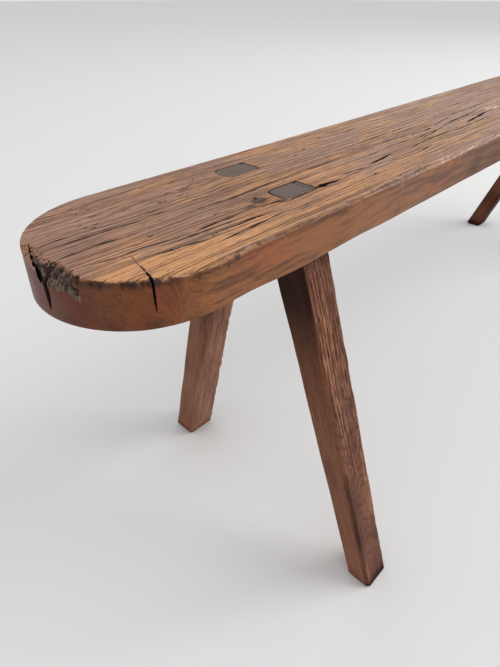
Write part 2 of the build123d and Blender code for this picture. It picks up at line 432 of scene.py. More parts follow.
# Knots: from the tip, from the middle, how far they push the grain aside and how long the flow is drawn out
KNOTS = (
    (0.725, -0.015, 0.016, 5.0),
    (0.163, 0.047, 0.007, 2.2),
    (0.128, 0.03, 0.005, 2.0),
    (0.068, 0.042, 0.0045, 2.4),
    (1.31, 0.042, 0.012, 4.0),
)

# The tree's heart, which the growth rings go round: from the middle of the plank and below its top, then
# from the middle of a leg, across and through it
PLANK_HEART = (0.16, 0.08)
LEG_HEART = (0.16, 0.12)

# How the plank's grain sways, and curls at the back of the left end: how far, how long and the seed, then
# where it is curly, across the plank and from the tip, and where it turns into the end grain
GRAIN_SWAY = 0.0035
GRAIN_DRIFT = (0.3, 11.5)
CURL_SWAY = 0.004
CURLS = (0.035, 14.5)
CURLY_ACROSS = (-0.02, 0.05)
CURLY_UP_TO = (0.18, 0.28)
END_GRAIN = (0.046, 0.066)

# The heart of the large knot, how far its flow is drawn out, its dark eye, and the pale ring round that
KNOT_HEART = (0.7214, -0.0161)
KNOT_STRETCH = 2.3
KNOT_EYE = 0.002
KNOT_RING = (0.0048, 0.0018)

# Dark stains on the top: from the tip, from the middle, half the length, half the width and how strong
TOP_STAINS = (
    (0.192, -0.029, 0.011, 0.008, 0.8),
    (0.176, -0.034, 0.013, 0.006, 0.6),
    (0.206, -0.044, 0.008, 0.003, 0.8),
    (0.256, -0.044, 0.015, 0.0035, 0.7),
    (0.735, -0.013, 0.017, 0.006, 0.5),
    (0.12, -0.052, 0.0022, 0.0016, 0.85),
    (0.116, -0.0535, 0.0012, 0.005, 0.7),
    (0.166, 0.042, 0.013, 0.0045, 0.55),
    (0.132, 0.03, 0.01, 0.003, 0.55),
    (0.071, 0.042, 0.008, 0.004, 0.45),
    (0.078, 0.059, 0.004, 0.003, 0.6),
    (0.214, 0.045, 0.006, 0.014, 0.4),
    (0.262, 0.044, 0.006, 0.012, 0.4),
)

# Dark patches on the sides: from the tip, from the middle, below the top, how far they reach, how strong
SIDE_STAINS = (
    (0.045, -0.076, 0.003, 0.005, 0.75),
    (0.034, -0.069, 0.002, 0.003, 0.7),
    (0.03, -0.066, 0.003, 0.0024, 0.6),
    (0.019, -0.054, 0.002, 0.003, 0.7),
    (0.023, -0.058, 0.004, 0.0024, 0.55),
    (0.073, -0.089, 0.004, 0.0045, 0.65),
    (0.108, -0.0885, 0.0025, 0.0042, 0.75),
    (0.26, -0.089, 0.01, 0.003, 0.3),
    (0.4, -0.089, 0.006, 0.004, 0.35),
)

# Softer shadowy patches on the sides, in the same terms
SIDE_SHADES = (
    (0.02, -0.056, 0.0385, 0.013, 0.45),
    (0.042, -0.074, 0.0385, 0.014, 0.45),
    (0.005, -0.03, 0.0385, 0.011, 0.4),
    (0.07, -0.0885, 0.0385, 0.012, 0.4),
    (0.056, -0.08, 0.015, 0.011, 0.28),
    (0.072, -0.0885, 0.012, 0.01, 0.3),
    (0.01, -0.04, 0.02, 0.012, 0.22),
    (0.15, -0.089, 0.0385, 0.015, 0.3),
    (0.23, -0.089, 0.035, 0.016, 0.25),
    (0.33, -0.089, 0.0385, 0.017, 0.25),
    (0.51, -0.089, 0.03, 0.02, 0.22),
    (0.9, -0.089, 0.035, 0.03, 0.25),
    (1.3, -0.089, 0.03, 0.026, 0.22),
    (0.03, 0.066, 0.038, 0.02, 0.3),
    (0.6, 0.1, 0.038, 0.025, 0.25),
    (1.7, -0.045, 0.038, 0.022, 0.35),
)

# How the finish changes over the plank. Which way a face looks: from a side to the top, and to its arris
TURNS_TO_TOP = (0.4, 0.8)
FACES_UP = (0.5, 0.9)
ARRIS_FACES = (0.85, 0.985)
END_FACES = (0.12, 0.62)
END_TO_TOP = (0.55, 0.9)
END_RELIEF = (0.2, 0.6)
FRAYED_FACES = (0.6, 0.9)
SMUDGED_FACES = (0.75, 0.97)

# How far below the top the arris reaches
ARRIS_REACH = (0.004, 0.008)

# From the tip: where each change of the finish, and of its painted shade, sheen and highlight, sets in
RUB_AND_HIGHLIGHT_FROM = (0.08, 0.12)
FRAYED_FROM = (0.085, 0.105)
FRAYED_LESS_FROM = (0.3, 0.46)
SMOOTH_FROM = (0.2, 0.5)
FAR_SIDE_SHADE = (0.34, 0.62)
SHEEN_TOP_FROM = (0.3, 0.62)
SHEEN_EASED_FROM = (0.7, 1.0)
ARRIS_HIGHLIGHT_FROM = (0.26, 0.42)
WARM_UP_TO = (0.15, 0.7)
WARM_FRONT_UP_TO = (0.14, 0.36)
AROUND_TENONS = (0.2, 0.09)

# Across the plank, from its middle towards its front: where the warm front of the top and the smudged
# arris begin
WARM_FRONT = (0.03, 0.07)
SMUDGED_FRONT = (0.03, 0.04)

# The cool patch at the tip, where more of the lilac patina, partly a painted sheen, shows: its middle across
# the plank, and its half length and half width
COOL_TIP_MIDDLE = -0.005
COOL_TIP = (0.075, 0.06)

# Tufts beside the front arris: how far in they reach, and how raggedly
FRAYED_REACH = (0.0045, 0.01)
FRAYED_RAGGED = 0.0022

# Drifting patterns of the plank's finish and of its painted highlight: how long each is, and its seed
RUB_AND_HIGHLIGHT_PATCHES = (0.017, 19.5)
RUB_AND_HIGHLIGHT_SPECKS = (0.005, 23.5)
FRAYED_DRIFT = (0.0034, 43.5)
TUFTS = (0.0026, 45.5)
SHADE_DRIFT = (0.03, 41.5)
WARMTH_DRIFT = (0.09, 17.5)

# Legs and wedges
LEG_CELLS = (42, 36)
LEG_LEVEL_STEP = 0.0026
LEG_ARRIS = 0.0035
FOOT_BEVEL = 0.003
TENON_LEVELS = 8
TENON_ROUND = 0.009
TENON_CORNER = 0.002
TENON_EDGE = 0.0005
TENON_CROWN = 0.0001
TENON_RISE = 0.0002
WEDGE_CELLS = (4, 14)
WEDGE_LEVELS = 10
WEDGE_ARRIS = 0.0004
SAME_HEIGHT = 0.0002
CAP_ROWS = 5
MORTISE_GAP = 0.0003
MERGE_DISTANCE = 1e-6
SHARP_ANGLE = math.radians(62)

# All above this height is the end of a tenon
TENON_END = TOP - 0.003

# The look of each leg, from 0 to 1: how smooth it is worn, how pale its front face is, how dark its left
# face gets towards the seat, how dark it is all over and at its tenon, and how nicked its right front corner
LegLook = namedtuple("LegLook", "smooth pale dark_top dark dark_tenon nicked")
LEG_LOOKS = {
    "left_front": LegLook(0.0, 0.0, 0.90, 0.0, 0.16, 0.3),
    "left_back": LegLook(0.8, 0.54, 0.15, 0.0, 0.22, 0.9),
    "right_front": LegLook(0.0, 0.1, 0.50, 0.1, 0.10, 0.4),
    "right_back": LegLook(0.7, 0.0, 0.40, 0.6, 0.10, 0.4),
}
LEG_NAMES = tuple(LEG_LOOKS)

# How nicked the other corners are
PLAIN_CORNER = 0.15

# Heights on a leg, from the floor: where its furrows open up, where the ripples of the plane lie, and where
# each shade sets in
ROUGH_FROM = (0.1, 0.26)
RIPPLED_FROM = (0.02, 0.06)
RIPPLED_TO = (0.24, 0.36)
RIDGE_FROM = (0.14, 0.3)
SHADED_FACET_TO = (0.2, 0.32)
DARK_LEFT_FROM = (0.16, 0.43)
DARK_FRONT_FROM = (0.3, 0.4)
LOW_PART_TO = (0.13, 0.24)
PALE_MIDDLE = (0.24, 0.09)
FOOT_DIRT_TO = (-0.002, 0.02)
SEAT_SHADOW = 0.03

# Across a leg: the band along its front left ridge, and the planed facet beside that, whose dark line is
# painted shade
RIDGE_BAND = 0.011
SHADED_FACET = (0.0045, 0.0017)

# Which way a leg's face looks: to a side, and along the leg
FACES_SIDE = (0.2, 0.8)
FACES_END = (0.5, 0.8)

# Drifting patterns of a leg: how far its grain sways, then how long each is, and its seed on the first leg
LEG_SWAY = 0.006
LEG_GRAIN_DRIFT = (0.16, 21.5)
LEG_WARMTH_DRIFT = (0.06, 27.5)
LEG_PATCHES = (0.045, 33.5)
LEG_ARRIS_SEED = 31.5
LEG_ARRIS_DRIFT = 0.06
LEG_ARRIS_CHATTER = 0.015

# Growth rings: how many in a metre, how many furrows start in a metre along one, how far the rings wander,
# where the pattern starts, and how wide the furrows are
PLANK_RINGS = {"Rings": 215.0, "Runs": 9.0, "Wander": 3.0, "Seed": 1.3, "Width": 1.0}
LEG_RINGS = {"Rings": 380.0, "Runs": 42.0, "Wander": 5.0, "Seed": 4.2, "Width": 1.9}
END_RINGS = {"Rings": 420.0, "Runs": 40.0, "Wander": 3.0, "Seed": 2.4, "Width": 1.0}

# How deep weather has sunk the wood: broad dips and their length, open furrows, and soft rings
PLANK_WEATHER = {"dip_depth": 0.0009, "dip_length": 0.075, "furrow_depth": 0.00012, "ring_depth": 0.00008}
LEG_WEATHER = {"dip_depth": 0.0007, "dip_length": 0.045, "furrow_depth": 0.0007, "ring_depth": 0.0001}

# Patterns of the oak: how many changes there are in a metre along its grain, and across it
RING_DRIFT = (1.8, 13.0)
TONES = (9.0, 42.0)
STREAKS = (13.0, 390.0)
FINE_STREAKS = (44.0, 900.0)
SPECKLES = (260.0, 480.0)
PORES = (95.0, 1500.0)
SWIRLS = (20.0, 52.0)
RIPPLES = 62.0

# The strands of torn wood, along each axis
STRANDS = (430.0, 430.0, 70.0)

# The three sets of furrows: how much closer than the rings they lie, how wide, and how strong
FurrowSet = namedtuple("FurrowSet", "lanes width strength")
WIDE_FURROWS = FurrowSet(1.0, 0.16, 0.84)
NARROW_FURROWS = FurrowSet(1.5, 0.26, 0.66)
HAIR_FURROWS = FurrowSet(2.3, 0.22, 0.3)
CARVED_FURROW_WIDTH = 0.2

# The fibres that hang from the broken face, and the tufts that stand along its crest. Where they grow:
# between two shares of the way down the face, and up to how far across the plank.
HANGING_PLACE = (0.1, 0.9, -0.01)
STANDING_PLACE = (0.0, 0.14, 0.031)
HANGING_FIBRES = {
    "density": 70000.0,
    "shortest": 0.003,
    "longest": 0.008,
    "thickness": 0.00055,
    "least_droop": 1.0,
    "most_droop": 1.45,
    "seed": 3,
}
STANDING_FIBRES = {
    "density": 900000.0,
    "shortest": 0.0016,
    "longest": 0.0042,
    "thickness": 0.0004,
    "least_droop": 0.25,
    "most_droop": 1.2,
    "seed": 8,
}

# One fibre, one high and one wide before it is scaled, and how far it turns to either side
FIBRE_CONE = {"Vertices": 5, "Radius Top": 0.15, "Radius Bottom": 1.0, "Depth": 1.0}
FIBRE_SWAY = 0.35

# The patch of the broken face that they grow from: how far from the tip and to the front it reaches, how
# many rows it has, and how far off the wood it lies
PATCH_DEPTH = 0.02
PATCH_FRONT = -0.035
PATCH_ROWS = 7
PATCH_OUT = 0.0002
PATCH_DOWN = 0.0006

# Finishes
PLANK_COLOURS = {
    "Light": (0.675, 0.325, 0.134, 1),
    "Dark": (0.285, 0.138, 0.075, 1),
    # The patina colour on the plank is partly a painted sheen
    "Patina": (0.365, 0.188, 0.124, 1),
    "Furrow colour": (0.032, 0.015, 0.011, 1),
    # The rubbed colour is worn wood and, on the plank's arris, a painted highlight
    "Rubbed and highlight colour": (0.640, 0.425, 0.350, 1),
    "Rot colour": (0.170, 0.120, 0.092, 1),
}
LEG_COLOURS = {
    "Light": (0.395, 0.170, 0.091, 1),
    "Dark": (0.125, 0.044, 0.025, 1),
    "Patina": (0.196, 0.074, 0.047, 1),
    "Furrow colour": (0.018, 0.009, 0.007, 1),
    "Rubbed and highlight colour": (0.290, 0.108, 0.054, 1),
    "Rot colour": (0.160, 0.120, 0.095, 1),
}
TENON_COLOURS = {
    "Light": (0.225, 0.187, 0.176, 1),
    "Dark": (0.080, 0.065, 0.062, 1),
    "Patina": (0.142, 0.119, 0.114, 1),
    "Furrow colour": (0.040, 0.030, 0.027, 1),
    "Rubbed and highlight colour": (0.250, 0.205, 0.185, 1),
    "Rot colour": (0.110, 0.090, 0.080, 1),
}
WEDGE_COLOURS = {
    "Light": (0.170, 0.128, 0.118, 1),
    "Dark": (0.080, 0.058, 0.056, 1),
    "Patina": (0.120, 0.088, 0.084, 1),
    "Furrow colour": (0.026, 0.018, 0.018, 1),
    "Rubbed and highlight colour": (0.150, 0.110, 0.100, 1),
    "Rot colour": (0.060, 0.044, 0.042, 1),
}

# The torn wood inside the break, and the pale tufts along its crest
TORN_COLOURS = {
    "Light": (0.240, 0.175, 0.138, 1),
    "Dark": (0.060, 0.040, 0.030, 1),
    "Patina": (0.130, 0.094, 0.074, 1),
    "Furrow colour": (0.026, 0.018, 0.014, 1),
    "Rubbed and highlight colour": (0.200, 0.150, 0.120, 1),
    "Rot colour": (0.170, 0.125, 0.100, 1),
}
TUFT_COLOURS = {
    "Light": (0.740, 0.610, 0.510, 1),
    "Dark": (0.300, 0.215, 0.165, 1),
    "Patina": (0.540, 0.425, 0.345, 1),
    "Furrow colour": (0.060, 0.040, 0.030, 1),
    "Rubbed and highlight colour": (0.740, 0.610, 0.510, 1),
    "Rot colour": (0.360, 0.270, 0.210, 1),
}

# The dark inside of a split
SPLIT_COLOURS = {
    "Light": (0.095, 0.048, 0.032, 1),
    "Dark": (0.030, 0.016, 0.011, 1),
    "Patina": (0.055, 0.031, 0.024, 1),
    "Furrow colour": (0.012, 0.007, 0.006, 1),
    "Rubbed and highlight colour": (0.110, 0.060, 0.040, 1),
    "Rot colour": (0.050, 0.032, 0.024, 1),
}

# What age does to the colours, which it multiplies: old wax on the sides, from brown to olive, the end
# grain, and the darkest and the palest shade. The darkest serves dirt and painted shade alike, and the
# palest pale wood and a painted sheen and highlight
WAX_BROWN = (0.48, 0.258, 0.244, 1.0)
WAX_OLIVE = (0.395, 0.302, 0.222, 1.0)
END_TINT = (0.76, 0.59, 0.41, 1.0)
DARKEST = (0.15, 0.11, 0.12, 1.0)
PALEST = (1.9, 2.42, 2.65, 1.0)
WHITE = (1.0, 1.0, 1.0, 1.0)

# How high each finish stands out in its bump, and how much the legs shine
PLANK_BUMP = 0.0006
LEG_BUMP = 0.0009
END_BUMP = 0.0004
TORN_BUMP = 0.0002
PLANK_SHINE = 0.28
LEG_SHINE = 0.1

# Room
FLOOR_RADIUS = 30.0
FLOOR_SIDES = 96
FLOOR_COLOUR = (0.8, 0.8, 0.79)
BACKDROP = (0.74, 0.74, 0.745)
AMBIENT = (0.75, 0.75, 0.76)
KEY_PLACE = (4.6, -4.0, 5.2)
KEY_SIZE = 5.0
KEY_POWER = 315.0

# Camera, as the photograph was taken
CAMERA_PLACE = (-0.9648, -0.306, 0.6228)
CAMERA_YAW = 0.7703
CAMERA_PITCH = 0.6254
CAMERA_LENS = 26.01
CAMERA_NEAR = 0.02


# How the pieces are drawn


def drifting(points, pitch, seed):
    """A smooth value between about -1 and 1 at each point, which changes over the pitch."""
    offset = Vector((0, 0, seed))
    return np.array([noise.noise(Vector((p[0], p[1], 0)) / pitch + offset) for p in points])


def smooth_step(values, low, high):
    """0 below low, 1 above high and smooth between them."""
    share = np.clip((values - low) / (high - low), 0, 1)
    return share * share * (3 - 2 * share)


def fade_out(values, low, high):
    """1 below low, 0 above high and smooth between them."""
    return smooth_step(-values, -high, -low)


def hump(values, middle, half):
    """1 at the middle, falling off to both sides of it as the distance passes the half width."""
    return np.exp(-(((values - middle) / half) ** 2))


def drawn_out(points, times):
    """The points for a pattern that is drawn out so many times along their first direction."""
    return points[:, :2] * (1, times)


def flat_row(points, height):
    """The points (x, y), each at the height: one for all of them, or one for each."""
    return np.column_stack([points, np.broadcast_to(height, len(points))])


def shell(name, rows, filled=False):
    """A closed mesh through rows of points. Each row goes round. The first and last draw in to a point or a
    line, where points that meet are merged, or else each is filled with its own flat face."""
    count = len(rows[0])
    points = np.concatenate(rows)
    here = np.arange(count)
    ahead = np.roll(here, -1)
    faces = []
    for row in range(len(rows) - 1):
        start = row * count
        loop = np.column_stack([start + here, start + count + here, start + count + ahead, start + ahead])
        faces.extend(loop.tolist())
    mesh = bpy.data.meshes.new(name)
    mesh.from_pydata(points.tolist(), [], faces)
    edit = bmesh.new()
    edit.from_mesh(mesh)
    if filled:
        rims = [edge for edge in edit.edges if edge.is_boundary]
        ends = bmesh.ops.holes_fill(edit, edges=rims)["faces"]
        bmesh.ops.triangulate(edit, faces=ends)
    else:
        bmesh.ops.remove_doubles(edit, verts=edit.verts, dist=MERGE_DISTANCE)
    bmesh.ops.recalc_face_normals(edit, faces=edit.faces)
    edit.to_mesh(mesh)
    edit.free()
    return mesh


def new_piece(name, content):
    """An object of the scene with a mesh, a lamp or a camera in it."""
    piece = bpy.data.objects.new(name, content)
    bpy.context.scene.collection.objects.link(piece)
    return piece


def points_of(mesh):
    """The mesh's points, one in each row."""
    points = np.empty(len(mesh.vertices) * 3)
    mesh.vertices.foreach_get("co", points)
    return points.reshape(-1, 3)


def normals_of(mesh):
    """The way that the surface looks at each point of the mesh."""
    normals = np.empty(len(mesh.vertices) * 3)
    mesh.vertex_normals.foreach_get("vector", normals)
    return normals.reshape(-1, 3)


def store(mesh, name, kind, values):
    """Writes one value for each point of the mesh, under a name that the materials read."""
    old = mesh.attributes.get(name)
    if old:
        mesh.attributes.remove(old)
    field = {"FLOAT": "value", "FLOAT_VECTOR": "vector", "FLOAT_COLOR": "color"}[kind]
    mesh.attributes.new(name, kind, "POINT").data.foreach_set(field, np.ravel(values))


def apply_modifiers(piece):
    """Turns what the modifiers make into the piece's own plain mesh."""
    graph = bpy.context.evaluated_depsgraph_get()
    result = bpy.data.meshes.new_from_object(piece.evaluated_get(graph))
    result.name = piece.name
    piece.modifiers.clear()
    piece.data = result


def weathered(piece, tree, material, sizes):
    """Runs a geometry node tree over the piece with its own sizes, given by the inputs' names."""
    modifier = piece.modifiers.new("weathering", "NODES")
    modifier.node_group = tree
    for item in tree.interface.items_tree:
        if item.item_type == "SOCKET" and item.in_out == "INPUT":
            key = item.name.lower().replace(" ", "_")
            if key in sizes:
                modifier[item.identifier] = sizes[key]
            if item.name == "Material":
                modifier[item.identifier] = material
    apply_modifiers(piece)


def cut(piece, batches, dirt, clean):
    """Takes batches of closed shapes out of the piece. The cut faces get the material of dirt, and in the
    clean batches they keep the piece's own."""
    piece.data.materials.append(dirt)
    face_material = piece.data.materials[0]
    tools = []
    for number, batch in enumerate(batches + clean):
        edit = bmesh.new()
        for rows in batch:
            edit.from_mesh(shell("part", closed_rows(rows)))
        mesh = bpy.data.meshes.new(f"cutter_{number}")
        edit.to_mesh(mesh)
        edit.free()
        mesh.materials.append(face_material)
        mesh.materials.append(dirt)
        for face in mesh.polygons:
            face.material_index = 1 if number < len(batches) else 0
        tool = new_piece(mesh.name, mesh)
        modifier = piece.modifiers.new(tool.name, "BOOLEAN")
        modifier.operation = "DIFFERENCE"
        modifier.solver = "MANIFOLD"
        modifier.object = tool
        tools.append(tool)
    apply_modifiers(piece)
    for tool in tools:
        bpy.data.objects.remove(tool)


def closed_rows(rows):
    """The rows with a row at each end where all the points meet in the middle."""
    first = np.tile(rows[0].mean(0), (len(rows[0]), 1))
    last = np.tile(rows[-1].mean(0), (len(rows[-1]), 1))
    return [first, *rows, last]


# Node trees

FLOAT = "NodeSocketFloat"
VECTOR = "NodeSocketVector"
COLOUR = "NodeSocketColor"
WHOLE_NUMBER = "NodeSocketInt"
GEOMETRY = "NodeSocketGeometry"
MATERIAL = "NodeSocketMaterial"

# What each node group that draws growth rings is told about them
RING_INPUTS = {name: (FLOAT, value) for name, value in PLANK_RINGS.items()}


class Tree:
    """Adds nodes to a node tree. An input takes a plain value, or the socket that it is joined to."""

    def __init__(self, tree):
        self.tree = tree

    def add(self, kind, inputs=None, **settings):
        node = self.tree.nodes.new(kind)
        for key, value in settings.items():
            setattr(node, key, value)
        for key, value in (inputs or {}).items():
            self.join(value, node.inputs[key])
        return node

    def join(self, value, socket):
        if isinstance(value, bpy.types.NodeSocket):
            self.tree.links.new(value, socket)
        else:
            socket.default_value = value

    def math(self, operation, first, second=0.0):
        return self.add("ShaderNodeMath", {0: first, 1: second}, operation=operation).outputs[0]

    def plus(self, first, second):
        return self.math("ADD", first, second)

    def minus(self, first, second):
        return self.math("SUBTRACT", first, second)

    def times(self, first, second):
        return self.math("MULTIPLY", first, second)

    def scaled(self, vector, factor):
        return self.add("ShaderNodeVectorMath", {0: vector, 3: factor}, operation="SCALE").outputs[0]

    def parts(self, vector):
        return self.add("ShaderNodeSeparateXYZ", {0: vector}).outputs

    def vector(self, x=0.0, y=0.0, z=0.0):
        return self.add("ShaderNodeCombineXYZ", {0: x, 1: y, 2: z}).outputs[0]

    def noise(self, vector, seed, detail=2.0, roughness=0.5):
        inputs = {"Vector": vector, "W": seed, "Scale": 1.0, "Detail": detail, "Roughness": roughness}
        return self.add("ShaderNodeTexNoise", inputs, noise_dimensions="4D").outputs[0]

    def stretched_noise(self, vector, changes, seed, detail=2.0, roughness=0.5):
        """Noise with so many changes in a metre along each axis."""
        finer = self.add("ShaderNodeVectorMath", {0: vector, 1: changes}, operation="MULTIPLY").outputs[0]
        return self.noise(finer, seed, detail, roughness)

    def grain_noise(self, grain, changes, seed, detail=2.0, roughness=0.5):
        """Noise drawn out along the grain, with so many changes in a metre along it and across it."""
        along, across = changes
        return self.stretched_noise(grain, (along, across, across), seed, detail, roughness)

    def ramp(self, value, low, high, to_low=0.0, to_high=1.0):
        """Maps a value from low..high to to_low..to_high, smoothly and without running past them."""
        inputs = {0: value, 1: low, 2: high, 3: to_low, 4: to_high}
        return self.add("ShaderNodeMapRange", inputs, interpolation_type="SMOOTHSTEP").outputs[0]

    def mix(self, share, first, second, blend="MIX"):
        inputs = {0: share, 6: first, 7: second}
        return self.add("ShaderNodeMix", inputs, data_type="RGBA", blend_type=blend).outputs[2]

    def tint(self, colour, by):
        """The colour multiplied by another."""
        return self.mix(1.0, colour, by, "MULTIPLY")

    def stored(self, name, kind="FLOAT"):
        """In geometry nodes: what a mesh stores under the name."""
        return self.add("GeometryNodeInputNamedAttribute", {"Name": name}, data_type=kind).outputs[0]

    def shown(self, name):
        """In a material: what a mesh stores under the name."""
        return self.add("ShaderNodeAttribute", attribute_name=name).outputs

    def dress(self, geometry, material, end):
        """Ends a geometry node tree: real geometry, with its material."""
        real = self.add("GeometryNodeRealizeInstances", {0: geometry})
        dressed = self.add("GeometryNodeSetMaterial", {"Geometry": real.outputs[0], "Material": material})
        self.tree.links.new(dressed.outputs[0], end[0])


def new_group(name, kind, inputs, outputs):
    """An empty node group: its inputs are given as name: (socket type, default)."""
    group = bpy.data.node_groups.new(name, kind)
    for label, (socket_type, default) in inputs.items():
        socket = group.interface.new_socket(label, in_out="INPUT", socket_type=socket_type)
        if default is not None:
            socket.default_value = default
    for label, socket_type in outputs.items():
        group.interface.new_socket(label, in_out="OUTPUT", socket_type=socket_type)
    tree = Tree(group)
    start = tree.add("NodeGroupInput").outputs
    end = tree.add("NodeGroupOutput").inputs
    return group, tree, start, end


def ring_furrows(tree, grain, start, width, lanes=1.0):
    """Where the soft wood of the growth rings has worn away into open furrows. It gives 1 in a furrow and 0
    beside it, and how far each point is from the middle of its ring. The same nodes carve a mesh and
    darken its material."""
    along, from_heart = tree.parts(grain)[:2]
    drift = tree.grain_noise(grain, RING_DRIFT, start["Seed"])
    place = tree.times(from_heart, tree.times(start["Rings"], lanes))
    place = tree.plus(place, tree.times(drift, start["Wander"]))
    lane = tree.times(tree.math("FLOOR", place), 7.31)
    chance = tree.add("ShaderNodeTexWhiteNoise", {"W": lane}, noise_dimensions="1D").outputs["Value"]
    centre = tree.plus(tree.times(chance, 0.60), 0.20)
    beside = tree.math("ABSOLUTE", tree.minus(tree.math("FRACT", place), centre))
    runs = tree.times(along, tree.times(start["Runs"], math.sqrt(lanes)))
    run = tree.noise(tree.vector(runs, lane), start["Seed"], 1.0)
    edge = tree.plus(tree.times(tree.ramp(run, 0.42, 0.62), width), 0.008)
    line = tree.ramp(beside, tree.times(edge, 0.3), edge, 1.0, 0.0)
    return tree.times(line, tree.ramp(run, 0.42, 0.50)), beside


def weathering_tree():
    """Geometry nodes that sink a surface in shallow dips, and in furrows along its growth rings."""
    inputs = {
        "Geometry": (GEOMETRY, None),
        "Dip depth": (FLOAT, 0.001),
        "Dip length": (FLOAT, 0.06),
        "Furrow depth": (FLOAT, 0.0005),
        "Ring depth": (FLOAT, 0.0002),
        **RING_INPUTS,
        "Material": (MATERIAL, None),
    }
    group, tree, start, end = new_group("weathering", "GeometryNodeTree", inputs, {"Geometry": GEOMETRY})
    place = tree.add("GeometryNodeInputPosition").outputs[0]
    spread = tree.scaled(place, tree.math("DIVIDE", 1.0, start["Dip length"]))
    dip = tree.ramp(tree.noise(spread, start["Seed"], 2.0, 0.45), 0.30, 0.52, 1.0, 0.0)
    width = tree.times(start["Width"], CARVED_FURROW_WIDTH)
    furrow, beside = ring_furrows(tree, tree.stored("grain", "FLOAT_VECTOR"), start, width)
    soft = tree.times(tree.ramp(beside, 0.05, 0.45, 1.0, 0.0), start["Ring depth"])
    carved = tree.plus(tree.times(furrow, start["Furrow depth"]), soft)
    dipped = tree.times(tree.times(dip, start["Dip depth"]), tree.stored("relief"))
    sunk = tree.plus(dipped, tree.times(carved, tree.stored("carve")))
    normal = tree.add("GeometryNodeInputNormal").outputs[0]
    offset = tree.scaled(normal, tree.times(sunk, -1.0))
    moved = tree.add("GeometryNodeSetPosition", {"Geometry": start["Geometry"], "Offset": offset})
    tree.dress(moved.outputs[0], start["Material"], end)
    return group


# Materials

# What the figure of the oak gives, and what the mesh stores in its attributes of wear and finish, whose
# rub is also a painted highlight and whose shade also holds painted shade and sheen
FIGURE = ("Tone", "Streak", "Ring", "Furrow", "Pore", "Speckle", "Strand", "Ripple")
WEAR_AND_HIGHLIGHT = ("Stain", "Rub", "Rot", "End")
FINISH_AND_SHADE = ("Warmth", "Wax", "Shade")


def all_furrows(tree, grain, start):
    """The wide, the narrow and the hair furrows in one, and how far each point is from its ring's middle."""
    lines, from_ring = [], []
    for furrows in (WIDE_FURROWS, NARROW_FURROWS, HAIR_FURROWS):
        width = tree.times(start["Width"], furrows.width)
        furrow, beside = ring_furrows(tree, grain, start, width, furrows.lanes)
        lines.append(tree.times(furrow, furrows.strength))
        from_ring.append(beside)
    both = tree.math("MAXIMUM", lines[0], lines[1])
    return tree.math("MAXIMUM", both, lines[2]), from_ring[0]


def ripples(tree, grain, start, tone, speckle):
    """The uneven ripples that a plane leaves across the grain."""
    swirl = tree.grain_noise(grain, SWIRLS, start["Seed"], 1.0)
    climb = tree.times(tree.parts(grain)[0], RIPPLES)
    scale = tree.math("FRACT", tree.plus(climb, tree.times(swirl, 4.6)))
    ripple = tree.times(tree.ramp(scale, 0.0, 0.55, 1.0, 0.0), tree.ramp(speckle, 0.28, 0.52, 0.15, 1.0))
    return tree.times(ripple, tree.times(start["Rippled"], tree.ramp(tone, 0.40, 0.58)))


def figure_height(tree, start, streak, ring, furrow, pore, speckle, ripple):
    """How high the surface stands: rings and streaks where the grain is open, sunk furrows, pores and
    ripples, and a rough rubbed edge."""
    open_grain = tree.ramp(start["Relief"], 0.0, 0.6)
    height = tree.minus(tree.times(tree.times(ring, 0.20), open_grain), furrow)
    height = tree.plus(height, tree.times(streak, tree.plus(tree.times(open_grain, 0.44), 0.16)))
    height = tree.minus(height, tree.times(pore, 0.30))
    height = tree.minus(height, tree.times(ripple, 0.90))
    return tree.plus(height, tree.times(tree.times(speckle, start["Rub"]), 2.0))


def figure_group():
    """The figure of oak: broad tone, streaks, growth rings, open furrows and pores along its grain, ripples
    across it, and the strands of a broken end."""
    inputs = {
        "Grain": (VECTOR, None),
        "Place": (VECTOR, None),
        "Relief": (FLOAT, 1.0),
        "Rippled": (FLOAT, 0.0),
        "Rub": (FLOAT, 0.0),
        **RING_INPUTS,
    }
    outputs = {name: FLOAT for name in (*FIGURE, "Height")}
    group, tree, start, end = new_group("oak_figure", "ShaderNodeTree", inputs, outputs)
    grain, seed, relief = start["Grain"], start["Seed"], start["Relief"]
    tone = tree.grain_noise(grain, TONES, seed, 3.0, 0.6)
    fine = tree.grain_noise(grain, FINE_STREAKS, seed, 2.0, 0.6)
    streak = tree.grain_noise(grain, STREAKS, seed, 4.0, 0.72)
    streak = tree.plus(streak, tree.times(tree.minus(fine, 0.5), 0.35))
    speckle = tree.grain_noise(grain, SPECKLES, seed, 3.0, 0.6)
    lines, beside = all_furrows(tree, grain, start)
    furrow = tree.times(lines, relief)
    ring = tree.ramp(beside, 0.04, 0.42)
    pore = tree.ramp(tree.grain_noise(grain, PORES, seed, 1.0), 0.58, 0.66)
    pore = tree.times(pore, tree.ramp(relief, 0.0, 0.5, 0.35, 1.0))
    strand = tree.stretched_noise(start["Place"], STRANDS, seed, 3.0, 0.6)
    ripple = ripples(tree, grain, start, tone, speckle)
    height = figure_height(tree, start, streak, ring, furrow, pore, speckle, ripple)
    results = (tone, streak, ring, furrow, pore, speckle, strand, ripple, height)
    for label, socket in zip(outputs, results):
        tree.tree.links.new(socket, end[label])
    return group


